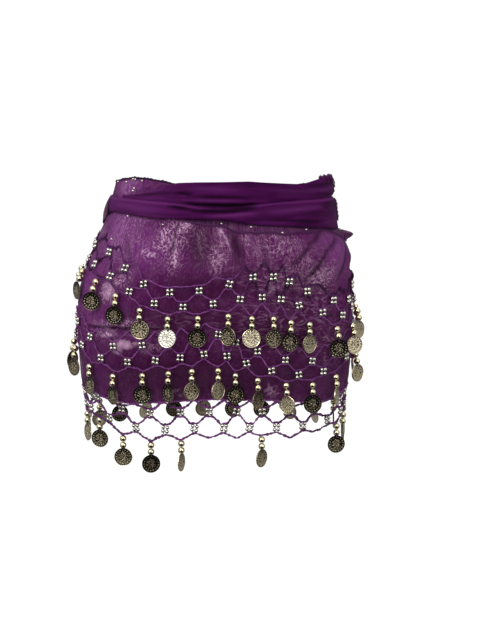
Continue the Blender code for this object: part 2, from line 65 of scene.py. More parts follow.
Section = namedtuple("Section", "down half_width front back shift")
FORM = [Section(*row) for row in (
    (0, 120.7, 82, 80, -0.3),
    (25, 124, 86, 86, -4),
    (40, 126.5, 89, 90.5, -6),
    (55, 131.2, 92, 95, -6.7),
    (70, 140.5, 94.5, 99.5, -4.2),
    (85, 145.5, 97, 104, -3.8),
    (115, 153.5, 101, 111, -9),
    (145, 157, 103, 116, -10),
    (180, 157.5, 104, 118, -11),
    (215, 155, 103, 117, -11),
    (260, 150, 101, 113, -10.5),
    (300, 148, 100, 111, -10.5),
)]
Waist = namedtuple("Waist", "turn cloth_top pleat_top pleat_bottom")
WAIST = [Waist(*row) for row in (
    (-180, 20, 30, 52),
    (-150, 19, 29, 53),
    (-130, 14, 26, 55),
    (-110, 10, 23, 56),
    (-96, 8, 21.5, 55),
    (-85, 6, 20.5, 50),
    (-76, 4.5, 20, 40),
    (-66, 1.7, 20, 36),
    (-53, -1, 20.5, 37),
    (-43, -0.8, 21, 38),
    (-30, 1.8, 22, 39.5),
    (-22, 5, 23, 40),
    (-10, 8, 25, 40.5),
    (2, 8, 26, 41),
    (9, 8, 25.5, 44),
    (20, 8, 23.5, 47),
    (30, 8, 22, 48.5),
    (45, 7, 21.5, 51),
    (58, 4, 21.5, 54),
    (70, 2, 21.5, 56),
    (92, 3, 23, 58),
    (110, 8, 24, 57),
    (130, 14, 27, 55),
    (150, 19, 29, 53),
    (180, 20, 30, 52),
)]
Front = namedtuple("Front", "turn fan_top flap_bottom")
FRONT = [Front(*row) for row in (
    (-60, 18, 40),
    (-44, 14.3, 40),
    (-28, 6, 41),
    (-22, 1.6, 42),
    (-12, 0.7, 44.5),
    (0, 0.3, 46.5),
    (5, 0, 50.5),
    (11, -0.3, 55.5),
    (19.5, 1.1, 54),
    (29.5, 2.4, 57),
    (40, 3.7, 56.5),
    (46, 3.2, 56),
    (52, 1.2, 55.5),
    (58, -0.5, 55.5),
    (62, -2, 56),
    (68, -1.8, 57.5),
    (80, -1, 66),
    (92, 1.5, 74),
)]
Fold = namedtuple("Fold", "turn lean down reach height width")
FOLDS = [Fold(*row) for row in (
    (-48, -0.10, 70, 34, 1.8, 9),
    (-24, 0.06, 78, 30, 1.5, 10),
    (-6, 0.02, 80, 34, 1.6, 9),
    (14, -0.05, 76, 30, 1.4, 10),
    (40, -0.25, 84, 30, 2.0, 9),
    (62, -0.35, 82, 32, 2.2, 9),
    (118, 0.20, 84, 30, 1.8, 9),
    (150, 0.08, 80, 34, 1.6, 10),
    (182, -0.04, 82, 32, 1.5, 10),
    (214, -0.10, 80, 34, 1.8, 9),
    (246, -0.20, 84, 30, 2.0, 9),
)]
ROUND_COLUMNS = 57
LAP_COLUMNS = 3
STEP = 360.0 / ROUND_COLUMNS
OUTER_END = 97.0
INNER_END = OUTER_END - (ROUND_COLUMNS + LAP_COLUMNS) * STEP
LAP_INSET = 2.2
LAP_EASE = 30.0
RUFFLE = 2.4
RUFFLE_PITCH = 28.0
RUFFLE_HIGHEST, RUFFLE_LOWEST = 74.0, 102.0
PLEAT_SWELL = 3.2
FAN_SWELL = 1.8
FAN_FROM, FAN_TO = -60.0, 91.0
FLAP_FROM, FLAP_TO = -24.0, 91.0
FLAP_HIDDEN = 9.0
FAN_HIDDEN = 4.0
FLAP_TIP = 12.0
FLAP_FOLD = 0.45
TRIM_TALL = 2.6
SCALLOP = 2.2
SCALLOP_PITCH = 27.0

# A row for each coin of the front. pale is how bright and bare the coin is, partly its bare metal and partly
# a painted reflection, which only the looks use.
Drop = namedtuple("Drop", "across down tall turned pale coin", defaults=(True,))
UPPER = [Drop(*row) for row in (
    (-153, 101, 26, 11, 0.2),
    (-135, 107.5, 28, 30, 0.05),
    (-115, 121, 26, 12, 0.0),
    (-89.5, 135, 24, 5, 0.45),
    (-59.5, 143, 24, -8, 1.0),
    (-27.5, 142, 25, 6, 0.05),
    (5, 139.5, 30, -38, 0.35),
    (30, 142.5, 40, 4, 0.85),
    (53, 143.5, 41, 18, 0.35),
    (71.5, 148.5, 40, 8, 0.1),
    (91.5, 152, 32, 14, 0.7),
    (120.5, 160, 27, -42, 0.0),
    (138.5, 161, 26, -35, 0.8),
    (145.5, 147, 26, -28, 0.8),
)]
MIDDLE = [Drop(*row) for row in (
    (-163.5, 188, 26, 24, 0.4),
    (-146.5, 204, 29, -8, 0.3),
    (-119.5, 210.5, 29, -22, 0.2),
    (-87.5, 207, 29, 12, 0.0),
    (-59, 203, 28, -42, 0.1),
    (-34, 200, 31, 42, 0.55),
    (-6, 199, 35, 48, 0.8),
    (12.5, 205, 32, 10, 0.0),
    (36, 210.5, 27, 44, 0.35),
    (66, 217.5, 23, -52, 0.8),
    (95, 220, 22, -20, 0.05),
    (120.5, 215, 22, 26, 0.6),
    (143.5, 197, 22, -32, 0.7),
)]
HEM = [Drop(*row) for row in (
    (-141, 266, 22.5, 30, 0.3),
    (-113, 282, 29, 25, 0.35),
    (-81, 286.5, 32, 25, 0.0),
    (-47, 283, 31, 78, 0.5),
    (-16, 280, 29, 0, 0.0, False),
    (14, 281, 30, 0, 0.0, False),
    (42, 279, 27, 42, 0.5),
    (73, 283, 29, 0, 0.0, False),
    (101, 280, 26, 0, 0.0, False),
    (128, 275.5, 24, -45, 0.15),
    (136, 266, 22.5, 20, 0.3),
)]
HIDDEN_DROPS = {"upper": 12, "middle": 12, "hem": 13}
HIDDEN_TURN = 35.0
NET_RISE = 10.0
SHORT_NET = 24.0
SHORT_NET_DROP = 7.4
TALL_NET_SHARE = 0.68
COIN_OUT = 5.4
COIN_CLEAR = 3.3

# ---- Sizes and tables that only the looks have ----

SHARP = 50.0  # a mesh is smooth across edges up to this angle
FINE_CLOTH = 0.5  # chiffon
FINE_SASH = 0.8  # the sash's layers of chiffon
THREAD = 0.66  # radius of a crocheted strand
HEM_THREAD = 1.05
THREAD_OUT = 1.0  # its middle, out from the cloth
HEM_OUT = -0.55  # where the hem net hangs
PLY_PITCH = 4.2  # length in which a strand's plies turn once
SMALL_BEAD = 4.3
DEGREE = 2.4  # mm round the form to a degree, about
PLY_DEPTH = 0.16  # how far the plies stand out, as a share of a strand's radius
COIN_TIP = 9.0  # how far a bright coin leans back against the cloth, in degrees
HIDDEN_FINISHES = (0.0, 0.05, 0.3, 0.7, 0.9)  # how pale a coin of the sides and back may be
TUFT_FROM, TUFT_PITCH = 56.0, 6.3  # the fan's gathered end, in degrees
LOOP_PITCH = 4.6  # between two loops of the edging
DOTS = 17  # of a coin's relief
DOT_RING = 8.0  # radius of the ring that they form
PETALS = 8
# The radii of the rings of points that make a coin's face, and the points in each
COIN_RINGS = (0.35, 1.2, 2.1, 3.0, 3.9, 4.8, 5.7, 6.5, 7.2, 8.0, 8.8, 9.3, 9.9, COIN / 2)
COIN_SIDES = 48
RELIEF_DEEP = 0.24
HOLE_UP, HOLE_RADIUS, HOLE_DEEP = 8.3, 0.95, 0.3  # a coin's hole, from its middle
CHIFFON_COLUMNS, CHIFFON_ROWS = 361, 130
BEAD_CLEAR = 1.1  # between a large bead and the cloth
UP = np.array((0, 0, 1.0))

# How far down the chiffon's hem is, and how high the first net's top strand stands above its clusters
Hem = namedtuple("Hem", "turn down")
CLOTH_HEM = [Hem(*row) for row in (
    (-180, 237),
    (-140, 240),
    (-110, 237),
    (-80, 238),
    (-60, 241),
    (-36, 245.5),
    (-15, 240),
    (0, 237),
    (20, 239),
    (40, 244.5),
    (52, 246),
    (64, 242),
    (85, 237),
    (120, 239),
    (150, 236.5),
    (180, 237),
)]
Rise = namedtuple("Rise", "turn rise")
TOP_ROW = [Rise(*row) for row in (
    (-90, 9),
    (-50, 10),
    (-36, 8),
    (-27, 1),
    (-16, -2.5),
    (-4, 4),
    (7, 10),
    (16, 12),
    (24, 11),
    (34, 8),
    (45, 7),
    (90, 9),
)]
Crease = namedtuple("Crease", "turn_a down_a turn_b down_b height width")
# Soft ridges, and troughs where the height is below zero, in the chiffon at the front; their troughs are also
# painted with shade and their ridges with highlights
CREASES = [Crease(*row) for row in (
    (-17.4, 44, -18.5, 60, -2.2, 1.2),
    (-18.5, 60, -20.2, 80, -2.2, 1.2),
    (-10, 50, -8, 92, -0.8, 5),
    (-2, 56, 1, 92, 0.9, 5),
    (5, 52, 8, 88, -0.9, 4),
    (11, 54, 12, 92, 0.8, 4),
    (17, 56, 19, 86, -0.6, 4),
    (27, 62, 25, 84, 0.6, 4),
    (60, 55, 42, 70, -1.6, 2.2),
    (43, 69, 29, 95, -1.6, 2.4),
    (64, 60, 40, 84, 1.2, 4.5),
    (40, 84, 34, 104, 0.9, 4),
    (70, 64, 52, 79, -1.5, 2.8),
    (54, 78, 38, 108, -2.0, 3.0),
    (72, 72, 48, 100, 1.3, 5),
    (80, 76, 60, 112, -1.6, 3.4),
    (84, 84, 70, 120, 1.2, 5),
    (80, 75, 93, 75, -1.0, 4),
    (80, 89, 93, 90, 1.2, 6),
    (80, 102, 93, 102, -1.5, 4),
    (82, 113, 93, 113, 1.8, 6),
    (82, 125, 93, 126, -1.0, 5),
    (-46, 62, -40, 90, -0.8, 4),
    (-58, 46, -62, 88, 0.8, 6),
    (-66, 50, -71, 84, -0.8, 5),
    (-34, 66, -30, 96, 0.7, 5),
    (-66, 160.5, -20, 155.5, 2.0, 1.4),
    (-66, 164.2, -20, 159.2, -2.3, 1.4),
    (-66, 167.9, -24, 162.9, 1.9, 1.4),
    (-50, 175, -40, 172, -0.6, 2.4),
    (25, 158, 52, 166, 0.8, 2.4),
    (20, 170, 46, 176, -0.7, 3),
    (28, 182, 58, 186, 0.7, 3),
    (18, 128, 30, 134, -0.8, 2.5),
    (34, 126, 46, 138, 0.8, 2.5),
    (44, 148, 66, 152, -0.7, 3),
    (-6, 190, -3, 230, 0.6, 6),
    (30, 196, 33, 232, -0.6, 6),
    (-64, 16, -43, 3, 0.8, 2.2),
    (-56, 17, -36, 6, -0.6, 2.0),
)]
# Ridges and troughs in the sash, also painted with highlights and shade
SASH_CREASES = [Crease(*row) for row in (
    (-58, 16, -30, 9, 0.9, 2.0),
    (-48, 17, -24, 12, -0.9, 2.0),
    (-22, 12, -13, 13, -1.3, 2.0),
    (-18, 7, 6, 8, 0.6, 2.4),
    (-15, 15.2, 13, 17, -1.4, 1.7),
    (-18, 19.5, 10, 20.5, 0.9, 1.5),
    (14, 6, 39, 10, 0.5, 2.4),
    (3, 4, 42, 7, -0.6, 3.0),
    (28, 12, 86, 11, 0.5, 3.5),
    (44, 6, 88, 6, -0.5, 2.5),
    (40, 16.5, 86, 16.5, -0.5, 2.5),
    (-24, 26, -10, 30.5, -1.4, 1.9),
    (-11, 31, 6, 31.5, -1.9, 2.1),
    (2, 31.3, 16, 27.6, -2.0, 2.2),
    (-4, 36.5, 18, 33.2, 1.0, 2.2),
    (12, 39.5, 54, 45, -1.0, 1.8),
    (20, 32, 60, 29, 0.8, 3.0),
    (42, 36, 88, 38, -0.5, 3.0),
    (36, 45, 60, 46, -0.6, 2.5),
    (50, 47, 90, 49, 0.6, 3.0),
    (-60, 28, -30, 32, 0.6, 3.0),
    (30, 26, 80, 27, -0.4, 2.0),
)]
SLIT_FROM, SLIT_TO = -19.0, 22.0  # the gap between the fan and the pleat, sunk in and painted dark as shade
SLIT_DEEP = 3.4
SLIT_TALL = 1.9
SLIT_DROP = 2.8  # how far the pleat's upper edge sinks there
GAP_TURN = -73.5  # where the sash turns away round the side, with a fold painted dark as shade

# Where the chiffon has painted gleams, which are painted reflections, or looks darker or more violet
Patch = namedtuple("Patch", "turn down wide tall strength lean", defaults=(0.0,))
GLEAMS = [Patch(*row) for row in (
    (-20.5, 59, 19, 21, 0.85, -0.35),
    (-13.8, 48, 8, 7, 1.0),
    (-23.5, 69, 13, 9, 1.0),
    (-31, 78, 10, 6, 0.8, 0.6),
    (-17.7, 84, 7, 11, 0.9),
    (1.7, 60, 5, 16, 0.55, 0.12),
    (-0.7, 82, 7, 13, 0.8),
    (-7, 66, 7, 18, 0.28),
    (11, 62, 5, 18, 0.3),
    (25, 68, 30, 16, 0.42),
    (35, 92, 22, 13, 0.26),
    (48, 106, 26, 14, 0.48, -0.2),
    (-42, 106, 12, 10, 0.9),
    (-48, 122, 15, 13, 0.6),
    (-46.8, 170, 11, 6, 0.9, 0.3),
    (-34, 154, 7, 4, 0.8),
    (-43, 157.5, 34, 3.0, 0.6),
    (-24, 181, 12, 7, 0.4),
    (-46, 66, 40, 26, 0.22),
    (-58, 8, 22, 12, 0.30),
    (26, 110, 20, 12, 0.22),
    (-48, 46, 34, 12, 0.3),
    (-49, 168, 16, 8, 0.7),
    (-80, 72, 30, 28, 0.30),
)]
# Where a painted gleam lies evenly inside a ragged edge, and where fine upright threads show
FLATS = [Patch(*row) for row in (
    (-48.6, 121, 14, 14, 0.80, -0.25),
    (-37.5, 179, 17, 7.0, 0.95),
    (-41, 185, 10, 8, 0.85),
    (-46.8, 170, 12, 4, 0.85, 0.3),
    (-30, 176.5, 12, 3, 0.72),
    (1.0, 54, 4, 9, 0.57, 0.05),
    (2.6, 66, 3, 11, 0.56, 0.12),
    (-13.5, 47.5, 7, 6, 0.75),
    (11, 61, 4.5, 18, 0.52),
    (22.4, 229, 13, 12, 0.58, 0.3),
    (-11.9, 230, 18, 8, 0.52),
)]
GRAINS = [Patch(*row) for row in (
    (-54, 62, 46, 36, 1.0),
    (0, 66, 26, 30, 1.0),
    (14, 66, 14, 26, 0.8),
    (-60, 8, 30, 16, 0.8),
    (60, 72, 30, 24, 0.5),
    (180, 90, 150, 60, 0.6),
)]
# Where the chiffon is finely gathered: ripples in its relief, with painted highlights along them and painted
# shade between them
CRINKLES = [Patch(*row) for row in (
    (22, 106, 34, 26, 0.7),
    (44, 114, 34, 34, 0.8),
    (34, 142, 64, 28, 0.85),
    (22, 168, 48, 20, 0.6),
    (50, 178, 44, 26, 0.8),
    (-12, 152, 40, 10, 0.4),
    (-40, 160, 60, 9, 0.8),
    (-60, 130, 24, 20, 0.4),
    (150, 150, 60, 40, 0.6),
    (200, 110, 80, 26, 0.5),
    (250, 160, 70, 36, 0.6),
)]
PLUMS = [Patch(*row) for row in (
    (-6, 66, 12, 30, 0.85),
    (6, 72, 7, 24, 0.8),
    (-12.5, 66, 5, 16, 0.5),
    (-2, 116, 60, 22, 0.85),
    (-10, 148, 82, 30, 0.85),
    (34, 120, 60, 30, 0.6),
    (24, 168, 80, 42, 0.85),
    (-30, 140, 60, 30, 0.4),
    (0, 208, 170, 44, 0.95),
    (60, 205, 60, 44, 0.7),
)]
VIOLETS = [Patch(*row) for row in (
    (-60, 58, 50, 40, 1.0),
    (-82, 70, 40, 34, 1.0),
    (-60, 8, 40, 20, 0.9),
    (-36, 74, 34, 26, 0.6),
    (64, 80, 40, 26, 0.6, 0.2),
    (-66, 120, 44, 44, 0.75),
    (-50, 150, 50, 34, 0.5),
    (-60, 205, 44, 34, 0.45),
    (60, 200, 30, 30, 0.25),
)]


def smooth(share):
    """Eases from 0 to 1."""
    share = np.clip(share, 0.0, 1.0)
    return share * share * (3 - 2 * share)


def read(table, at, column):
    """A column of a table, at values of the table's first column."""
    index = table[0]._fields.index(column)
    return np.interp(at, [row[0] for row in table], [row[index] for row in table])


def read_smoothly(table, at, column):
    """The same, along a soft curve through the table's rows."""
    index = table[0]._fields.index(column)
    places = np.array([row[0] for row in table], float)
    heights = np.array([row[index] for row in table], float)
    slopes = np.gradient(heights, places)
    at = np.clip(at, places[0], places[-1])
    i = np.clip(np.searchsorted(places, at, side="right") - 1, 0, len(places) - 2)
    width = places[i + 1] - places[i]
    t = (at - places[i]) / width
    low = (1 + 2 * t) * (1 - t) ** 2 * heights[i] + t * (1 - t) ** 2 * width * slopes[i]
    return low + t * t * (3 - 2 * t) * heights[i + 1] - t * t * (1 - t) * width * slopes[i + 1]


def wrapped(turn):
    """The same turn between -180 and 180."""
    return (turn + 180) % 360 - 180


def level_way(outward):
    """The level direction across one that points out of the form."""
    return np.array([-outward[1], outward[0], 0])


def unit(vectors):
    return vectors / np.linalg.norm(vectors, axis=-1, keepdims=True)


def along_path(points):
    """How far along its path each point is."""
    steps = np.linalg.norm(np.diff(points, axis=0), axis=1)
    return np.concatenate([[0], np.cumsum(steps)])


def waves(points, size, seed):
    """Soft irregular waves between about -1 and 1, this far apart across, deep and down."""
    chance = random.Random(seed)
    total = 0
    for _ in range(9):
        heading = np.array([chance.gauss(0, 1) for _ in range(3)])
        heading *= math.tau * chance.uniform(0.7, 1.4) / np.linalg.norm(heading)
        total = total + np.sin(points @ (heading / np.array(size)) + chance.uniform(0, math.tau))
    return total / 3


# ---- Places on the garment ----


def signed_power(value, exponent):
    return np.sign(value) * np.abs(value) ** exponent


def form_place(turn, down):
    """The form's points at these turns and heights, and the level directions straight out of it."""
    turn, down = np.broadcast_arrays(np.asarray(turn, float), np.asarray(down, float))
    across, along = np.sin(np.radians(turn)), np.cos(np.radians(turn))
    half_width = read_smoothly(FORM, down, "half_width")
    depth = np.where(along > 0, read_smoothly(FORM, down, "front"), read_smoothly(FORM, down, "back"))
    x, y = signed_power(across, 2 / SQUARENESS), -signed_power(along, 2 / SQUARENESS)
    slope = SQUARENESS - 1
    outward = [signed_power(x, slope) / half_width, signed_power(y, slope) / depth, np.zeros_like(x)]
    point = [read_smoothly(FORM, down, "shift") + half_width * x, depth * y, -down]
    return np.stack(point, -1), unit(np.stack(outward, -1))


def laid(turn, down, out):
    """Points this far out from the chiffon's large folds."""
    point, outward = form_place(turn, down)
    return point + (fold_height(turn, down) + out)[..., None] * outward


def surface(turn, down, out=0.0):
    """Points this far out from the chiffon with all its creases, or from the form below its hem."""
    point, outward = form_place(turn, down)
    below = 1 - smooth((np.asarray(down, float) - CLOTH_LENGTH - 8) / 30)
    stands = out + below * (fold_height(turn, down) + cloth_relief(turn, down, point))
    return point + stands[..., None] * outward


def fold_height(turn, down):
    """How far the chiffon's large folds stand out here."""
    turn, down = np.broadcast_arrays(np.asarray(turn, float), np.asarray(down, float))
    height = np.zeros(turn.shape)
    for fold in FOLDS:
        along = np.clip((down - fold.down) / fold.reach, -1, 1)
        aside = wrapped(turn - fold.turn - fold.lean * (down - fold.down))
        height += fold.height * (1 - along * along) ** 2 * np.exp(-((aside / fold.width) ** 2))
    return height


def crease_height(table, turn, down):
    """How far a table's ridges and troughs stand out here."""
    turn, down = np.broadcast_arrays(np.asarray(turn, float), np.asarray(down, float))
    height = np.zeros(turn.shape)
    for crease in table:
        across = wrapped(turn - crease.turn_a) * DEGREE
        fall = down - crease.down_a
        run = (crease.turn_b - crease.turn_a) * DEGREE, crease.down_b - crease.down_a
        share = np.clip((across * run[0] + fall * run[1]) / (run[0] ** 2 + run[1] ** 2), 0, 1)
        away = (across - share * run[0]) ** 2 + (fall - share * run[1]) ** 2
        taper = 0.35 + 0.65 * np.sin(math.pi * share)
        height += crease.height * taper * np.exp(-away / crease.width**2)
    return height


def hidden_creases(first, last, high, low, count, slant, seed):
    """Creases like the front's between two turns and two heights of the sides and back."""
    chance = random.Random(seed)
    made = []
    for k in range(count):
        turn = first + (last - first) * (k + chance.uniform(0.2, 0.8)) / count
        down = chance.uniform(high, low)
        reach = chance.uniform(14, 34)
        angle = math.radians(slant + chance.uniform(-28, 28))
        end = turn + reach * math.cos(angle) / DEGREE, down + reach * math.sin(angle)
        height = chance.choice((-1, 1)) * chance.uniform(0.5, 1.3)
        made.append(Crease(turn, down, end[0], min(end[1], low + 20), height, chance.uniform(2, 6)))
    return made


CREASES += hidden_creases(90, 275, 66, 95, 20, 90, "upper cloth")
CREASES += hidden_creases(92, 290, 120, 200, 22, 8, "lower cloth")
SASH_CREASES += hidden_creases(100, 285, 32, 46, 14, 2, "sash")


def cloth_relief(turn, down, point):
    """How far the chiffon's creases and ripples stand out here."""
    loose = smooth((down - 46) / 22)
    turn, down = np.broadcast_arrays(np.asarray(turn, float), np.asarray(down, float))
    gathered = patch_strength(CRINKLES, turn, down)
    ripple = 0.45 * waves(point, (22, 22, 70), "drape") + 0.15 * waves(point, (8, 8, 9), "crimp")
    ripple = ripple + 0.36 * gathered * waves(point, (15, 15, 5.6), "gather")
    return loose * (crease_height(CREASES, turn, down) + ripple)


SHORT_TURN = 0.5  # short enough for the form's direction and length here


def short_way(turn, down):
    """The way from here to a short turn further round the form."""
    return form_place(turn + SHORT_TURN, down)[0] - form_place(turn, down)[0]


def degrees_for(length, turn, down):
    """The turn that covers this length round the form here."""
    return length * SHORT_TURN / np.linalg.norm(short_way(turn, down), axis=-1)


def turn_across(across, down):
    """The turn of the front point that lies this far across."""
    x = (across - read(FORM, down, "shift")) / read(FORM, down, "half_width")
    return math.degrees(math.asin(signed_power(x, SQUARENESS / 2)))


def evenly_between(first, last, count, down):
    """Turns that part the way round from first to last into count + 1 equal lengths."""
    turns = np.linspace(first, last, 721)
    length = along_path(form_place(turns, down)[0])
    return np.interp(length[-1] * np.arange(1, count + 1) / (count + 1), length, turns)


# ---- Meshes ----


def quads(a, b, c, d):
    return np.stack([a, b, c, d], -1).reshape(-1, 4)


def disc(ring):
    """Quads that fill a ring of an even number of points."""
    half = len(ring) // 2 - 1
    return quads(ring[:half], ring[1 : half + 1], ring[-2 : -2 - half : -1], ring[-1 : -1 - half : -1])


def give(mesh, name, vectors):
    """Adds a vector attribute to a mesh's points."""
    attribute = mesh.attributes.new(name, "FLOAT_VECTOR", "POINT")
    attribute.data.foreach_set("vector", vectors.astype(np.float32).ravel())


class Mesh:
    """Points and quads in millimetres. Each point has a place for the weave and a look for the colours."""

    def __init__(self):
        self.points, self.quads, self.places, self.looks, self.count = [], [], [], [], 0

    def add(self, points, faces, place=(0, 0, 0), look=(0, 0, 0)):
        points = points.reshape(-1, 3)
        self.points.append(points)
        self.quads.append(faces + self.count)
        self.places.append(np.broadcast_to(np.asarray(place, float), points.shape))
        self.looks.append(np.broadcast_to(np.asarray(look, float), points.shape))
        self.count += len(points)

    def shell(self, front, back, place=(0, 0, 0), look=(0, 0, 0), closed=False):
        """Cloth between two grids of points, rows going down and columns going round."""
        rows, columns = front.shape[:2]
        index = np.arange(rows * columns).reshape(rows, columns)
        if closed:
            index = np.concatenate([index, index[:, :1]], axis=1)
        under = index + rows * columns
        faces = [
            quads(index[:-1, :-1], index[1:, :-1], index[1:, 1:], index[:-1, 1:]),
            quads(under[:-1, :-1], under[:-1, 1:], under[1:, 1:], under[1:, :-1]),
        ]
        rims = [(index[0], under[0]), (index[-1], under[-1])]
        if not closed:
            rims += [(index[:, 0], under[:, 0]), (index[:, -1], under[:, -1])]
        faces += [quads(top[:-1], low[:-1], low[1:], top[1:]) for top, low in rims]
        points = np.concatenate([front.reshape(-1, 3), back.reshape(-1, 3)])
        both = [np.concatenate([np.broadcast_to(x, front.shape).reshape(-1, 3)] * 2) for x in (place, look)]
        self.add(points, np.concatenate(faces), *both)

    def tube(self, path, outward, radius=THREAD, closed=False, sides=6, tone=0.0):
        """A twisted strand along a path."""
        count = len(path)
        ahead = np.roll(path, -1, 0) - np.roll(path, 1, 0) if closed else np.gradient(path, axis=0)
        ahead = unit(ahead)
        aside = unit(np.cross(ahead, outward))
        rise = np.cross(aside, ahead)
        angle = np.arange(sides) / sides * math.tau
        along = along_path(path)
        wide = 1 + PLY_DEPTH * np.cos(2 * angle[None] - math.tau * along[:, None] / PLY_PITCH)
        wide = wide * np.broadcast_to(radius, count)[:, None]
        ring = np.cos(angle)[:, None] * rise[:, None] + np.sin(angle)[:, None] * aside[:, None]
        index = np.arange(count * sides).reshape(count, sides)
        if closed:
            index = np.concatenate([index, index[:1]])
        beside = np.roll(index, -1, axis=1)
        faces = [quads(index[:-1], index[1:], beside[1:], beside[:-1])]
        if not closed:
            faces += [disc(index[0]), disc(index[-1])]
        place = np.stack(np.broadcast_arrays(along[:, None], angle[None], 0.0), -1).reshape(-1, 3)
        tones = np.broadcast_to(np.broadcast_to(tone, count)[:, None], (count, sides)).reshape(-1)
        look = np.stack([tones, tones * 0, tones * 0], -1)
        self.add(path[:, None] + wide[..., None] * ring, np.concatenate(faces), place, look)

    def copies(self, shape, frames, centres, pale=0.0):
        """Copies of a shape, (points, quads, looks), turned by frames (columns side, up and face)."""
        points, faces, looks = shape
        placed = np.einsum("kij,pj->kpi", frames, points) + centres[:, None]
        total = len(centres)
        faces = faces[None] + (np.arange(total) * len(points))[:, None, None]
        looks = np.broadcast_to(looks, (total, *looks.shape)).copy()
        looks[..., 1] = np.reshape(pale, (-1, 1))
        looks[..., 2] = np.random.default_rng(4).random(total)[:, None]
        places = np.broadcast_to(points, placed.shape).reshape(-1, 3)
        self.add(placed, faces.reshape(-1, 4), places, looks.reshape(-1, 3))

    def build(self, name, look, slot, *nodes):
        """The piece of this name, which stands for these nodes of the CAD."""
        mesh = bpy.data.meshes.new(name)
        points = np.concatenate(self.points) * MM
        mesh.from_pydata(points.tolist(), [], np.concatenate(self.quads).tolist())
        for title, values in (("place", self.places), ("look", self.looks)):
            give(mesh, title, np.concatenate(values))
        shape = bmesh.new()
        shape.from_mesh(mesh)
        bmesh.ops.recalc_face_normals(shape, faces=shape.faces)
        shape.to_mesh(mesh)
        shape.free()
        mesh.shade_smooth()
        mesh.set_sharp_from_angle(angle=math.radians(SHARP))
        mesh.materials.append(look)
        piece = bpy.data.objects.new(name, mesh)
        bpy.context.scene.collection.objects.link(piece)
        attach(piece, "root")
        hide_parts(*nodes)
        return piece


# ---- Materials ----


class Look:
    """A material, with short calls for the nodes it needs."""

    def __init__(self, name, **settings):
        self.material = bpy.data.materials.new(name)
        self.material.use_nodes = True
        self.tree = self.material.node_tree
        self.shader = self.tree.nodes["Principled BSDF"]
        for socket, value in settings.items():
            self.shader.inputs[socket.replace("_", " ")].default_value = value

    def node(self, kind, output=0, settings=(), **inputs):
        made = self.tree.nodes.new("ShaderNode" + kind)
        for key, value in dict(settings).items():
            setattr(made, key, value)
        for key, source in inputs.items():
            socket = made.inputs[int(key[1:])] if key[0] == "i" and key[1:].isdigit() else made.inputs[key]
            if isinstance(source, bpy.types.NodeSocket):
                self.tree.links.new(source, socket)
            else:
                socket.default_value = source
        return made.outputs[output]

    def attribute(self, name):
        return self.node("Attribute", 1, {"attribute_name": name})

    def parts(self, vector):
        made = self.tree.nodes.new("ShaderNodeSeparateXYZ")
        self.tree.links.new(vector, made.inputs[0])
        return made.outputs

    def math(self, operation, *values):
        inputs = {f"i{k}": value for k, value in enumerate(values)}
        return self.node("Math", 0, {"operation": operation}, **inputs)

    def mix(self, share, first, second):
        return self.node("Mix", 2, {"data_type": "RGBA"}, i0=share, i6=first, i7=second)

    def times(self, first, second):
        return self.math("MULTIPLY", first, second)

    def times_plus(self, first, second, third):
        """The product of the first two, and the third."""
        return self.math("MULTIPLY_ADD", first, second, third)

    def plus(self, first, second):
        return self.math("ADD", first, second)

    def less(self, first, second):
        return self.math("SUBTRACT", first, second)

    def most(self, first, second):
        return self.math("MAXIMUM", first, second)

    def noise(self, vector, scale, detail=2.0, distortion=0.0):
        inputs = {"Vector": vector, "Scale": scale, "Detail": detail, "Distortion": distortion}
        return self.node("TexNoise", 0, **inputs)

    def cloud(self, place, cells, detail=2.0, distortion=0.0):
        """Noise with these numbers of cells to a millimetre."""
        return self.noise(self.scaled(place, cells), 1.0, detail, distortion)

    def spread(self, value, low, high, to_low=0.0, to_high=1.0):
        """A value between low and high taken to between two others."""
        inputs = {"Value": value, "From Min": low, "From Max": high, "To Min": to_low, "To Max": to_high}
        return self.node("MapRange", 0, {"clamp": True}, **inputs)

    def scaled(self, vector, sizes):
        return self.node("VectorMath", 0, {"operation": "MULTIPLY"}, i0=vector, i1=sizes)

    def bump(self, height, distance, strength=1.0):
        return self.node("Bump", 0, Height=height, Distance=distance, Strength=strength)

    def weave(self, place, pitch):
        """The height of a plain weave with this pitch."""
        x, y, _ = self.parts(self.scaled(place, (math.tau / pitch,) * 3))
        warp, weft = self.math("SINE", x), self.math("SINE", y)
        return self.times(warp, weft)

    def finish(self, colour=None, roughness=None, normal=None):
        for socket, source in (("Base Color", colour), ("Roughness", roughness), ("Normal", normal)):
            if source is not None:
                self.tree.links.new(source, self.shader.inputs[socket])
        return self.material


SHEEN = (0.75, 0.35, 0.85, 1)
CHIFFON_PURPLE = (0.073, 0.0058, 0.066, 1)
CHIFFON_PLUM = (0.027, 0.0014, 0.021, 1)
# wine tint of the gathered chiffon, and the painted shade in its troughs
CHIFFON_WINE = (0.046, 0.0060, 0.034, 1)
CHIFFON_VIOLET = (0.150, 0.023, 0.160, 1)
CHIFFON_SHADE = (0.008, 0.0006, 0.008, 1)
# colour of the chiffon's painted gleams, painted reflections and painted highlights
GLEAM = (0.80, 0.49, 0.70, 1)
SASH_PURPLE = (0.030, 0.0012, 0.031, 1)
SASH_LIGHT = (0.054, 0.0036, 0.056, 1)
# colour of the sash's painted highlights
SASH_GLOW = (0.118, 0.022, 0.126, 1)
SASH_SHADE = (0.0020, 0.0002, 0.0026, 1)
SASH_SHEER = (0.20, 0.10, 0.17, 1)
FLAP_PURPLE = (0.048, 0.0040, 0.046, 1)
THREAD_LIGHT = (0.30, 0.080, 0.32, 1)
THREAD_DARK = (0.020, 0.0020, 0.022, 1)
GOLD = (0.84, 0.77, 0.50, 1)
SILVER = (0.70, 0.68, 0.60, 1)
PATINA = (0.012, 0.010, 0.008, 1)
COIN_METAL = (0.88, 0.75, 0.51, 1)
COIN_BRIGHT = (0.92, 0.87, 0.74, 1)


def darker(colour, share):
    return tuple(x * share for x in colour[:3]) + (1,)


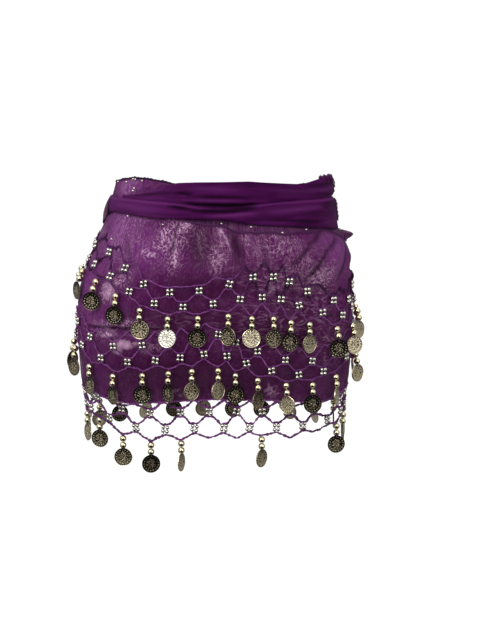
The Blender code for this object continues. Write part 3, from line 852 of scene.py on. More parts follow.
def chiffon_look(name="chiffon", alpha=0.94, base=CHIFFON_PURPLE, moire=1.0):
    """Sheer chiffon with fine wavy lines, painted gleams, darker and lighter patches, and painted shade and
    highlights on its folds.
    """
    sheen = {"Sheen_Weight": 0.01, "Sheen_Roughness": 0.4, "Sheen_Tint": SHEEN}
    look = Look(name, Alpha=alpha, Roughness=0.6, **sheen, Specular_IOR_Level=0.045)
    place = look.attribute("place")
    _, _, crinkled = look.parts(place)
    gleam, plum, violet = look.parts(look.attribute("look"))
    flat, grain, fold = look.parts(look.attribute("shine"))
    open_cloth = look.less(1.0, look.times(plum, 0.85))
    # dark is painted shade in troughs and the sash's painted shadow; light is a painted highlight on ridges
    dark = look.most(fold, 0.0)
    light = look.most(look.times(fold, -1.0), 0.0)

    # Fine wavy lines, broken here and there
    field = look.cloud(place, (0.050, 0.030, 0.0), 2.0, 0.9)
    jitter = look.cloud(place, (0.33, 0.24, 0.0), 1.5)
    phase = look.times_plus(field, 95.0, look.times(jitter, 8.0))
    broken = look.spread(look.cloud(place, (0.30, 0.22, 0.0), 1.0), 0.38, 0.56)
    rings = look.math("SINE", phase)
    lines = look.times(look.spread(rings, 0.0, 0.9), broken)

    # Soft clouds, flecks, upright threads, and the ragged edge of an even painted gleam
    cloudy = look.spread(look.cloud(place, (0.10, 0.045, 0.0), 3.0, 0.4), 0.42, 0.66)
    flecks = look.spread(look.cloud(place, (0.46, 0.36, 0.0), 2.0, 0.8), 0.50, 0.64)
    threads = look.spread(look.cloud(place, (0.75, 0.035, 0.0), 2.0), 0.42, 0.70)
    ragged = look.cloud(place, (0.17, 0.15, 0.0), 4.0, 1.2)
    glare = look.spread(look.times_plus(ragged, 1.1, flat), 0.98, 1.10)
    gathers = look.cloud(place, (0.055, 0.13, 0.0), 3.0, 2.6)

    # How much of the painted gleam's colour shows: faintly all over, strongly in the painted gleams and as a
    # painted highlight on ridges
    faint = look.times_plus(lines, 0.055 * moire, look.times(cloudy, 0.022))
    faint = look.times_plus(look.times(threads, grain), 0.12, faint)
    faint = look.times(faint, open_cloth)
    white = look.times_plus(flecks, 0.30, look.times(cloudy, 0.07))
    white = look.times_plus(lines, 0.56, white)
    even = look.times(glare, look.times(flat, flat))
    even = look.times(even, look.times_plus(cloudy, 0.40, 0.34))
    strong = look.times_plus(gleam, white, look.times_plus(light, 0.13, even))
    # Painted highlights along the crests of the gathers, and painted shade in their troughs
    streaks = look.times(crinkled, look.spread(gathers, 0.50, 0.68, 0.0, 0.25))
    troughs = look.times(crinkled, look.spread(gathers, 0.28, 0.52, 0.8, 0.0))

    # Violet patches, with ridges painted violet as a highlight
    colour = look.mix(look.most(violet, look.times(light, 0.7)), base, CHIFFON_VIOLET)
    colour = look.mix(plum, colour, CHIFFON_PLUM)
    # Gathered parts tinted wine, with their troughs painted wine as shade
    colour = look.mix(look.most(troughs, look.times(crinkled, 0.30)), colour, CHIFFON_WINE)
    # Painted gleams, painted reflections and painted highlights, in the gleam's colour
    colour = look.mix(look.plus(look.plus(faint, strong), streaks), colour, GLEAM)
    speckle = look.cloud(place, (0.8, 0.8, 0.0), 2.0)
    colour = look.mix(look.spread(speckle, 0.35, 0.75, 0.0, 0.25), colour, CHIFFON_PLUM)
    # Painted shade in the folds' troughs and painted shadow under the sash
    colour = look.mix(look.times(dark, 0.75), colour, CHIFFON_SHADE)

    height = look.times_plus(rings, 0.25, look.weave(place, 0.7))
    height = look.times_plus(look.times(gathers, crinkled), 6.0, height)
    rough = look.spread(look.plus(strong, faint), 0.0, 0.7, 0.62, 0.38)
    return look.finish(colour, rough, look.bump(height, 0.00012))


def sash_look():
    """Several layers of the chiffon, streaked along the sash, with its painted shade and painted highlights.
    """
    sheen = {"Sheen_Weight": 0.006, "Sheen_Roughness": 0.35, "Sheen_Tint": SHEEN}
    look = Look("sash", Roughness=0.65, **sheen, Specular_IOR_Level=0.03)
    place = look.attribute("place")
    shade, sheer, light = look.parts(look.attribute("look"))
    streaks = look.cloud(place, (0.012, 0.13, 0.0), 3.0, 0.5)
    colour = look.mix(look.spread(streaks, 0.40, 0.62), SASH_PURPLE, SASH_LIGHT)
    # Painted highlights
    colour = look.mix(light, colour, SASH_GLOW)
    uneven = look.spread(streaks, 0.36, 0.60, 0.45, 1.0)
    colour = look.mix(look.times(sheer, uneven), colour, SASH_SHEER)
    # Painted shade
    colour = look.mix(shade, colour, SASH_SHADE)
    height = look.times_plus(streaks, 3.0, look.weave(place, 0.6))
    return look.finish(colour, None, look.bump(height, 0.0001))


def crochet_look():
    """Twisted thread with painted shade in the grooves of its twist; its tone is light where the look says 0
    and dark where it says 1, the edgings' own dark thread and painted shade along the nets' strands.
    """
    look = Look("crochet", Roughness=0.8, Sheen_Weight=0.03, Sheen_Tint=SHEEN, Specular_IOR_Level=0.10)
    along, angle, _ = look.parts(look.attribute("place"))
    tone, _, _ = look.parts(look.attribute("look"))
    fibres = look.math("SINE", look.times_plus(along, math.tau / 1.1, look.times(angle, 2.0)))
    uneven = look.noise(look.attribute("place"), 0.35, 3.0)
    # The edgings' own dark thread, and painted shade along the nets' strands
    colour = look.mix(tone, THREAD_LIGHT, THREAD_DARK)
    # Painted shade in the grooves between the twisted fibres
    colour = look.mix(look.spread(fibres, -1.0, 0.2, 0.55, 0.0), colour, THREAD_DARK)
    lighter = look.times(look.spread(uneven, 0.4, 0.7, 0.0, 0.3), look.less(1.0, tone))
    colour = look.mix(lighter, colour, THREAD_LIGHT)
    return look.finish(colour, None, look.bump(fibres, 0.00025))


def bead_look(name, metal):
    """A polished metal bead, each a little darker or lighter than the next."""
    look = Look(name, Metallic=1.0)
    place = look.attribute("place")
    _, _, chance = look.parts(look.attribute("look"))
    smudge = look.cloud(place, (0.6, 0.6, 0.6), 2.0)
    shade = look.times_plus(chance, 0.25, look.spread(smudge, 0.4, 0.75, 0.0, 0.2))
    colour = look.mix(shade, metal, darker(metal, 0.55))
    return look.finish(colour, look.spread(smudge, 0.3, 0.8, 0.06, 0.16))


def coin_look():
    """Old metal, black in its recesses and bare on its relief, barer and brighter towards its bottom as a
    painted highlight; a pale coin is bare nearly all over, the palest painted brighter partly as a
    reflection.
    """
    look = Look("coin", Metallic=1.0)
    place = look.attribute("place")
    height, pale, chance = look.parts(look.attribute("look"))
    x, y, _ = look.parts(place)
    radius = look.math("SQRT", look.times_plus(x, x, look.times(y, y)))
    turns = look.times(look.math("ARCTAN2", y, x), DOTS / math.tau)
    aside = look.times(look.less(look.math("FRACT", turns), 0.5), math.tau * DOT_RING / DOTS)
    above = look.less(radius, DOT_RING)
    away = look.math("SQRT", look.times_plus(aside, aside, look.times(above, above)))
    dots = look.spread(away, 0.65, 1.0, 1.0, 0.0)
    stamp = look.cloud(place, (1.15, 1.15, 1.15), 1.5, 0.8)
    swirl = look.times_plus(radius, 1.1, look.times(turns, PETALS * math.tau / DOTS))
    petals = look.times_plus(look.math("SINE", swirl), 0.05, stamp)
    inner = look.times(look.spread(petals, 0.50, 0.58), look.spread(radius, 5.4, 6.2, 1.0, 0.0))
    grime = look.cloud(place, (0.5, 0.5, 0.5), 4.0, 0.3)
    # Dots worn bare unevenly, and brighter towards the coin's bottom as a painted highlight
    wear_and_highlight = look.spread(look.times_plus(y, -0.02, grime), 0.38, 0.56, 0.25, 1.0)
    worn_and_lit_dots = look.times(dots, wear_and_highlight)
    raised = look.most(look.times(height, 0.9), look.most(worn_and_lit_dots, inner))
    edge = look.less(look.times_plus(grime, 0.5, 0.42), look.times(pale, 0.66))
    # Barer towards the bottom, as a painted highlight
    edge = look.times_plus(y, 0.016, edge)
    limits = {"From Min": look.less(edge, 0.17), "From Max": look.plus(edge, 0.17)}
    bare = look.node("MapRange", 0, {"clamp": True}, Value=raised, **limits)
    # Each coin's metal a little darker or lighter; the palest painted brighter, partly as a reflection
    metal_tone_and_reflection = look.mix(chance, COIN_METAL, darker(COIN_METAL, 0.62))
    metal_tone_and_reflection = look.mix(look.math("POWER", pale, 12.0), metal_tone_and_reflection, COIN_BRIGHT)
    colour = look.mix(bare, PATINA, metal_tone_and_reflection)
    bump = look.bump(look.times_plus(grime, 0.3, raised), 0.00022)
    return look.finish(colour, look.spread(bare, 0.0, 1.0, 0.5, 0.27), bump)


# ---- The chiffon ----


def lap_inset(wound):
    """How far in the chiffon lies where its outer end passes over it."""
    return LAP_INSET * (1 - smooth((wound - OUTER_END + 360) / LAP_EASE))


def ruffle(down):
    """How far the waves of the outer end stand out."""
    inside = (down > RUFFLE_HIGHEST) & (down < RUFFLE_LOWEST)
    wave = np.abs(np.sin(math.pi * (down - RUFFLE_HIGHEST) / RUFFLE_PITCH))
    return np.where(inside, RUFFLE * wave, 0.0)


def patch_strength(table, turn, down):
    """How strong a table's patches are here."""
    strength = np.zeros(turn.shape)
    for patch in table:
        across = wrapped(turn - patch.turn) * DEGREE - patch.lean * (down - patch.down)
        away = (across / patch.wide) ** 2 + ((down - patch.down) / patch.tall) ** 2
        strength = np.maximum(strength, patch.strength * np.exp(-(away**1.25)))
    return strength


def hidden_patches(seed, count, wide, tall):
    """Patches like the front's for the sides and back."""
    chance = random.Random(seed)
    made = []
    for k in range(count):
        turn = 95 + 190 * (k + chance.uniform(0.2, 0.8)) / count
        size = chance.uniform(0.5, 1.4)
        down = chance.uniform(62, 225)
        made.append(Patch(turn, down, wide * size, tall * size, chance.uniform(0.3, 0.9)))
    return made


GLEAMS += hidden_patches("gleams", 14, 14, 11)
PLUMS += hidden_patches("plums", 8, 40, 26)


def end_wave(wound, down):
    """How far the chiffon's last column is lifted by the waves of its end."""
    return ruffle(down) * smooth((wound - OUTER_END + STEP) / STEP)


def chiffon_columns():
    """The turns of the chiffon's columns, closest together at the front and at its free end."""
    wound = np.linspace(INNER_END, OUTER_END, 3000)
    front = 2.2 * np.exp(-((wrapped(wound) / 70) ** 6))
    free_end = 1.5 * np.exp(-(((wound - OUTER_END + 3) / 8) ** 2))
    close = 1 + front + free_end
    return np.interp(np.linspace(0, 1, CHIFFON_COLUMNS), np.cumsum(close) / np.sum(close), wound)


def chiffon():
    wound = chiffon_columns()
    share = np.linspace(0, 1, CHIFFON_ROWS)[:, None]
    top = read(WAIST, wrapped(wound), "cloth_top")
    down = top + (read(CLOTH_HEM, wrapped(wound), "down") - top) * share
    turn = np.broadcast_to(wound, down.shape)
    out = end_wave(turn, down) - lap_inset(turn)
    front = surface(turn, down, out)
    back = surface(turn, down, out - FINE_CLOTH)
    place = np.stack([turn * DEGREE, down, patch_strength(CRINKLES, turn, down)], -1)
    look = np.stack([patch_strength(table, turn, down) for table in (GLEAMS, PLUMS, VIOLETS)], -1)
    mesh = Mesh()
    mesh.shell(front, back, place, look)
    piece = mesh.build("chiffon", chiffon_look(), "chiffon", "hip_panel")
    paint(piece, "shine", cloth_shine(turn, down))
    return piece


def cloth_shine(turn, down):
    """How evenly the chiffon's painted gleam shows, how its threads show, and its folds' painted shade and
    highlight with the sash's painted shadow: 1 in a trough, -1 on a ridge.
    """
    fold = np.clip(-crease_height(CREASES, turn, down) / 1.5, -1, 1)
    fold = np.maximum(fold, under_sash(turn, down))
    return np.stack([patch_strength(FLATS, turn, down), patch_strength(GRAINS, turn, down), fold], -1)


def under_sash(turn, down):
    """How dark the narrow shadow is that the sash's lower edge casts on the chiffon."""
    edge = np.maximum(read(WAIST, wrapped(turn), "pleat_bottom"), flap_line(wrapped(turn)))
    return 0.95 * np.exp(-(((down - edge - 0.6) / 1.5) ** 2))


def paint(piece, name, values):
    """Gives both faces of a sheet one more vector at each point."""
    give(piece.data, name, np.concatenate([values.reshape(-1, 3)] * 2))


# ---- The sash ----


def over(turn, first, last):
    """1 where the sash lies over it, from the first turn to the last, easing to 0 past both."""
    turn = wrapped(turn)
    return smooth((turn - first + 16) / 14) * (1 - smooth((turn - last - 2) / 20))


def slit(turn):
    """1 in the middle of the slit between the fan and the pleat, easing to 0 at its ends."""
    middle, half = (SLIT_FROM + SLIT_TO) / 2, (SLIT_TO - SLIT_FROM) / 2
    return 1 - smooth(np.abs(wrapped(turn) - middle) / half)


def slit_depth(turn, down):
    """How far in the sash sinks at the slit."""
    middle = read(WAIST, wrapped(turn), "pleat_top") - 0.8
    return SLIT_DEEP * slit(turn) * np.exp(-(((down - middle) / SLIT_TALL) ** 2))


def shadow(turn, down):
    """How dark the sash's painted shade is, black inside the slit, soft in its troughs, in the fold at its
    side and under the pleat; how sheer; and how bright its painted highlights are, on ridges, along the
    pleat's upper edge and towards the left.
    """
    turn, down = np.broadcast_arrays(wrapped(turn), down)
    edge = read(WAIST, turn, "pleat_top")
    open_here = slit(turn)
    tall = SLIT_TALL * (0.45 + 0.75 * open_here)
    # Painted shade, black inside the slit
    deep = np.exp(-(((down - edge + 0.8) / tall) ** 4)) * smooth(3 * open_here)
    relief = crease_height(SASH_CREASES, turn, down)
    # Painted shade in the troughs, and in the fold at the side
    soft = 0.62 * np.clip(-relief, 0, 1.3)
    gap = 0.9 * np.exp(-(((turn - GAP_TURN) / 1.5) ** 2)) * smooth((down - 21) / 6)
    past_gap = GAP_TURN - turn
    sheer = 0.62 * smooth((past_gap - 1) / 3) * (1 - smooth((past_gap - 8) / 14)) * smooth((down - 25) / 8)
    # Painted highlight along the pleat's upper edge, and lighter towards the left
    brink_highlight = np.exp(-(((down - edge - SLIT_DROP * open_here - 1.5) / 0.9) ** 2)) * (1 - 0.7 * open_here)
    toward_left = smooth((-turn - 12) / 30) * smooth((turn + 84) / 8)
    # Painted shade on the pleat's underside
    underside = np.exp(-(((down - read(WAIST, turn, "pleat_bottom")) / 1.3) ** 2))
    under = 0.6 * underside * smooth((turn + 40) / 30)
    light = np.clip(0.45 * np.clip(relief, 0, 1.2) + 0.5 * brink_highlight + 0.30 * toward_left, 0, 1)
    return np.stack([np.clip(deep + soft + gap + under, 0, 1), sheer, light], -1)


def pleat_out(turn, share):
    """How far down and how far out the pleat's inner face is, a share of the way down it."""
    top = read(WAIST, wrapped(turn), "pleat_top") + SLIT_DROP * slit(turn)
    bottom = read(WAIST, wrapped(turn), "pleat_bottom")
    down = top + (bottom - top) * share
    covered = over(turn, FAN_FROM, FAN_TO) * (1 - share) + over(turn, FLAP_FROM, FLAP_TO) * share
    under = (CLOTH + LAYER) * covered
    swell = PLEAT_SWELL * np.minimum(1.0, (bottom - top) / 16)
    roll = np.sin(math.pi * share) ** 0.7
    inner = LAYER + under + (swell + crease_height(SASH_CREASES, turn, down)) * roll
    return down, np.maximum(inner, LAYER * 0.5 + under)


def sash_sheet(turn, down, inner, look=(0, 0, 0), closed=False):
    """A thin sheet whose outer face is that of the CAD's thicker one, with its inner face this far out."""
    front = laid(turn, down, inner + CLOTH)
    back = laid(turn, down, inner + CLOTH - FINE_SASH)
    place = np.stack(np.broadcast_arrays(turn * DEGREE, down, 0.0), -1)
    mesh = Mesh()
    mesh.shell(front, back, place, look, closed)
    return mesh


def pleat():
    turn = np.arange(OUTER_END - 360, OUTER_END, 1.0)
    down, inner = pleat_out(turn, np.linspace(0, 1, 30)[:, None])
    mesh = sash_sheet(turn, down, inner, shadow(turn, down), closed=True)
    return mesh.build("sash_pleat", sash_look(), "sash", "waist_sash")


def fan_edges(turn):
    """How far down the fan's upper edge is, and where the pleat covers it."""
    bottom = read(WAIST, turn, "pleat_top") - 1
    tuft = 0.9 * smooth((turn - TUFT_FROM) / 5) * np.cos(turn * math.tau / TUFT_PITCH)
    return np.minimum(read(FRONT, turn, "fan_top") + tuft, bottom - 2), bottom


def fan_out(turn, down):
    """How far out the fan's inner face is."""
    top, bottom = fan_edges(turn)
    share = np.clip((down - top) / (bottom - top), 0, 1)
    swell = FAN_SWELL * np.minimum(1.0, (bottom - top) / 16)
    held = 0.85 * smooth((turn - 78) / 8) * smooth(share / 0.2) * smooth((1 - share) / 0.14)
    roll = np.maximum(np.sin(math.pi * share) ** 0.7, held)
    relief = crease_height(SASH_CREASES, turn, down) * roll + 1.5 * slit(turn) * share * roll
    tufts = 0.9 * smooth((turn - TUFT_FROM) / 6) * (1 - smooth((down - top) / 12))
    tufts = tufts * np.cos(turn * math.tau / TUFT_PITCH)
    return np.maximum(LAYER + swell * roll + relief + tufts - slit_depth(turn, down), LAYER * 0.3)


def fan():
    turn = np.arange(FAN_FROM, FAN_TO, 0.8)
    top, bottom = fan_edges(turn)
    hidden = bottom + 1 + FAN_HIDDEN
    down = top + (hidden - top) * np.linspace(0, 1, 34)[:, None]
    mesh = sash_sheet(turn, down, fan_out(turn, down), shadow(turn, down))
    return mesh.build("sash_fan_cloth", sash_look(), "sash", "sash_fan")


def flap_line(turn):
    """How far down the flap's scalloped edge is; its hidden start is tucked up under the pleat."""
    across = form_place(turn, 55)[0][..., 0]
    scallop = SCALLOP * np.abs(np.sin(math.pi * across / SCALLOP_PITCH))
    line = read(FRONT, turn, "flap_bottom") - SCALLOP + scallop
    tucked = read(WAIST, turn, "pleat_bottom") - 1.5
    shown = smooth((turn - FLAP_FROM - 4) / 14) * ((turn > FLAP_FROM) & (turn < FLAP_TO))
    return tucked + (line - tucked) * shown


def flap_edge(turn):
    """How far down the flap's edge is, and how far its free corner stands out above it."""
    return flap_line(turn), FLAP_TIP * smooth((turn - FLAP_TO + 13) / 13)


def flap_out(turn, down):
    """How far out the flap's inner face is: it folds out and back in above its edge."""
    pleat_bottom = read(WAIST, turn, "pleat_bottom")
    bottom, lift = flap_edge(turn)
    middle = np.minimum(pleat_bottom + 0.8, bottom - 1)
    share = np.clip((down - middle) / (bottom - middle), 0, 1)
    return LAYER + lift * smooth(share / FLAP_FOLD) * smooth((1 - share) / (1 - FLAP_FOLD))


def flap():
    turn = np.arange(FLAP_FROM, FLAP_TO, 0.8)
    top = read(WAIST, turn, "pleat_bottom") - FLAP_HIDDEN
    down = top + (flap_edge(turn)[0] - top) * np.linspace(0, 1, 24)[:, None]
    mesh = sash_sheet(turn, down, flap_out(turn, down))
    look = chiffon_look("sash_end", 0.95, FLAP_PURPLE, 0.6)
    piece = mesh.build("sash_end", look, "sash", "end_flap")
    paint(piece, "shine", flap_shine(*np.broadcast_arrays(turn, down)))
    return piece


def flap_shine(turn, down):
    """The flap's shine, as cloth_shine: some threads, and the pleat's shadow, taller at its start."""
    below = down - read(WAIST, turn, "pleat_bottom")
    reach = 1.2 + 2.8 * (1 - smooth((turn - 3) / 15))
    fold = 0.9 * np.exp(-(((below - 0.4) / reach) ** 2))
    return np.stack([turn * 0, turn * 0 + 0.5, fold], -1)


# ---- Crocheted edging ----


def edging(mesh, edge, away, outward, tall=TRIM_TALL, tone=0.8, thick=0.5):
    """A chain along an edge, with small loops that stand away from it and die out at its ends."""
    along = along_path(edge)
    even = np.arange(0, along[-1], 0.75)
    edge, away, outward = [
        np.stack([np.interp(even, along, vectors[:, k]) for k in range(3)], -1)
        for vectors in (edge, away, outward)
    ]
    mesh.tube(edge + away * 0.5, outward, 0.72, tone=tone)
    mesh.tube(edge + away * (0.7 + thick), outward, thick, tone=tone)
    loops = np.abs(np.sin(math.pi * even / LOOP_PITCH)) ** 0.7
    uneven = 1 + 0.25 * np.sin(even * 0.31) + 0.15 * np.sin(even * 0.83)
    reach = 0.9 + (tall - 0.4) * loops * uneven * smooth(even / 5) * smooth((even[-1] - even) / 5)
    mesh.tube(edge + away * reach[:, None], outward, thick, tone=tone)


def upward(edge):
    return np.broadcast_to(UP, edge.shape)


def end_directions(turn, down):
    """At the end of a sheet: the way that is half out of the form and half on round it, and straight out."""
    outward = form_place(turn, down)[1]
    return unit(outward + unit(short_way(turn, down))), outward


def top_edging(look):
    """Edging along the chiffon's upper edge."""
    wound = np.linspace(INNER_END, OUTER_END, 500)
    top = read(WAIST, wrapped(wound), "cloth_top")
    edge = surface(wound, top, -lap_inset(wound) - FINE_CLOTH / 2)
    mesh = Mesh()
    edging(mesh, edge, upward(edge), form_place(wound, top)[1], tall=1.5, tone=0.95, thick=0.7)
    return mesh.build("top_edging", look, "crochet", "top_trim")


def side_edging(look):
    """Edging down the chiffon's outer end."""
    top = read(WAIST, OUTER_END, "cloth_top")
    down = np.linspace(top, CLOTH_LENGTH, 260)
    turn = np.full_like(down, OUTER_END)
    edge = surface(turn, down, ruffle(down) - FINE_CLOTH / 2)
    mesh = Mesh()
    edging(mesh, edge, unit(short_way(turn, down)), form_place(turn, down)[1])
    return mesh.build("side_edging", look, "crochet", "side_trim")


def fan_edging(look):
    """Edging down the fan's end, along its gathered upper edge, and down the pleat beside its end."""
    down = np.linspace(*fan_edges(FAN_TO), 60)
    turn = np.full_like(down, FAN_TO)
    edge = laid(turn, down, fan_out(turn, down) + CLOTH / 2)
    mesh = Mesh()
    edging(mesh, edge, *end_directions(turn, down), tall=3.4, tone=0.95, thick=0.75)
    turns = np.linspace(TUFT_FROM + 3, FAN_TO, 90)
    tops = fan_edges(turns)[0]
    edge = laid(turns, tops, fan_out(turns, tops) + CLOTH / 2)
    edging(mesh, edge, upward(edge), form_place(turns, tops)[1], tall=1.8)
    share = np.linspace(0.05, 0.8, 60)
    turn = np.full_like(share, FAN_TO)
    down, inner = pleat_out(turn, share)
    edge = laid(turn, down, inner + CLOTH)
    edging(mesh, edge, *end_directions(turn, down), tall=2.8, tone=0.95, thick=0.75)
    return mesh.build("fan_edging", look, "crochet", "sash_trim")


def flap_edging(look):
    """Edging along the flap's lower edge and up its free end."""
    end = FLAP_TO - 0.01
    turn = np.linspace(FLAP_FROM + 6, end, 300)
    down = flap_edge(turn)[0]
    edge = laid(turn, down, LAYER + CLOTH - FINE_SASH / 2)
    mesh = Mesh()
    edging(mesh, edge, -upward(edge), form_place(turn, down)[1], tall=1.4)
    down = np.linspace(read(WAIST, end, "pleat_bottom"), flap_edge(end)[0], 60)
    turn = np.full_like(down, end)
    edge = laid(turn, down, flap_out(turn, down) + CLOTH - FINE_SASH / 2)
    edging(mesh, edge, unit(short_way(turn, down)), form_place(turn, down)[1], tall=1.4)
    return mesh.build("flap_edging", look, "crochet", "flap_trim")


Glint = namedtuple("Glint", "turn down out")
# Single silver beads sewn to the flap's edge and to the chiffon's upper edge
GLINTS = [Glint(*row) for row in (
    (1.3, 44.7, 3.0),
    (14.3, 48.6, 3.0),
    (29.8, 55.6, 3.0),
    (45.2, 53.6, 3.0),
    (84, 59, 4.5),
    (90.5, 66, 11.5),
    (-49.8, 39.5, 1.2),
    (-25.3, 46.5, 1.2),
    (-57, 65.5, 1.2),
    (-60, 3.2, 1.2),
    (-50.6, 9.2, 1.2),
    (-51, 12, 1.2),
    (-53.8, -0.6, 0.6),
    (-51.6, -0.4, 0.6),
    (-45.6, 0.6, 0.6),
    (-74, 4.2, 0.6),
    (118, 12, 0.6),
    (150, 20, 0.6),
    (196, 20, 0.6),
    (240, 14, 0.6),
)]
GLINT = 2.8  # size of such a bead


def glints(look):
    frames, centres = [], []
    for glint in GLINTS:
        turn, down = np.array(float(glint.turn)), np.array(float(glint.down))
        frames.append(upright_frame(UP, form_place(turn, down)[1]))
        centres.append(surface(turn, down, glint.out))
    mesh = Mesh()
    mesh.copies(bead_shape(GLINT, 0.4, 12, 8), np.array(frames), np.array(centres))
    return mesh.build("trim_beads", look, "silver_beads", "flap_trim", "top_trim")


# ---- Beads and coins ----


def upright_frame(up, outward):
    """The side, up and face directions of a bead on a thread that runs up, as columns."""
    side = unit(np.cross(up, outward))
    return np.stack([side, up, np.cross(side, up)], -1)


def bead_shape(size, hole, around, over):
    """A round bead with a hole along its up axis."""
    radius = size / 2
    start = math.asin(hole / radius)
    polar = np.linspace(start, math.pi - start, over)[:, None]
    angle = np.arange(around) / around * math.tau
    girth, height = radius * np.sin(polar), radius * np.cos(polar)
    points = np.stack(np.broadcast_arrays(girth * np.cos(angle), height, girth * np.sin(angle)), -1)
    index = np.arange(over * around).reshape(over, around)
    index = np.concatenate([index, index[:1]])
    beside = np.roll(index, -1, axis=1)
    faces = quads(index[:-1], index[1:], beside[1:], beside[:-1])
    return points.reshape(-1, 3), faces, np.zeros((over * around, 3))


def coin_relief(x, y):
    """The height of the coin's generic relief, 0 to 1: a thin rim, a ring of dots, a line and petals."""
    radius, angle = np.hypot(x, y), np.arctan2(y, x)
    rim = smooth((radius - 9.3) / 0.3)
    aside = (np.mod(angle * DOTS / math.tau, 1) - 0.5) * math.tau * DOT_RING / DOTS
    dots = np.exp(-((aside**2 + (radius - DOT_RING) ** 2) / 0.8) ** 2)
    line = np.exp(-(((radius - 6.5) / 0.4) ** 2)) * 0.5
    petals = smooth(np.sin(PETALS * angle + 1.1 * radius) + 0.4) * (1 - smooth((radius - 5.4) / 0.6))
    return np.clip(rim + dots + line + 0.45 * petals * smooth(radius / 1.5), 0, 1)


def coin_shape():
    """A stamped coin with its face along +Z, its up axis along +Y and a hole near the top."""
    radii = np.array(COIN_RINGS)[:, None]
    angle = (np.arange(COIN_SIDES) / COIN_SIDES * math.tau)[None]
    x, y = radii * np.sin(angle), radii * np.cos(angle)
    relief = coin_relief(x, y)
    hole = np.exp(-((x**2 + (y - HOLE_UP) ** 2) / HOLE_RADIUS**2) ** 2)
    relief = relief * (1 - hole)
    bevel = smooth((radii - 9.9) / 0.3) * 0.18
    height = COIN_THICK / 2 - RELIEF_DEEP + RELIEF_DEEP * relief - HOLE_DEEP * hole - bevel
    index = np.arange(x.size).reshape(x.shape)
    beside = np.roll(index, -1, axis=1)
    front = quads(index[:-1], index[1:], beside[1:], beside[:-1])
    cap = disc(index[0])
    under = x.size
    rim = quads(index[-1], index[-1] + under, beside[-1] + under, beside[-1])
    faces = [front, cap, front + under, cap + under, rim]
    sides = [np.stack(np.broadcast_arrays(x, y, z), -1).reshape(-1, 3) for z in (height, -height)]
    looks = np.zeros((2 * x.size, 3))
    shine = relief * (1 - 0.45 * smooth((radii - 9.1) / 0.3)) - 0.6 * hole
    looks[:, 0] = np.concatenate([shine.ravel()] * 2)
    return np.concatenate(sides), np.concatenate(faces), looks


# ---- The nets ----

Column = namedtuple("Column", "turn down tall turned pale coin")


def net_columns(front, hidden, seed):
    """All the net's columns in order round the garment: the front's table, then the sides and back."""
    chance = random.Random(seed)
    finish = random.Random(seed + " finish")
    columns = [Column(turn_across(drop.across, drop.down), *drop[1:]) for drop in front]
    first, last = columns[0], columns[-1]
    level = (first.down + last.down) / 2
    for k, turn in enumerate(evenly_between(last.turn, first.turn + 360, hidden, level)):
        share = float(smooth((k + 1) / (hidden + 1)))
        down = last.down + (first.down - last.down) * share + chance.uniform(-1.5, 1.5)
        tall = last.tall + (first.tall - last.tall) * share + chance.uniform(-1, 1)
        turned = chance.uniform(-HIDDEN_TURN, HIDDEN_TURN)
        columns.append(Column(turn, down, tall, turned, finish.choice(HIDDEN_FINISHES), True))
    return columns


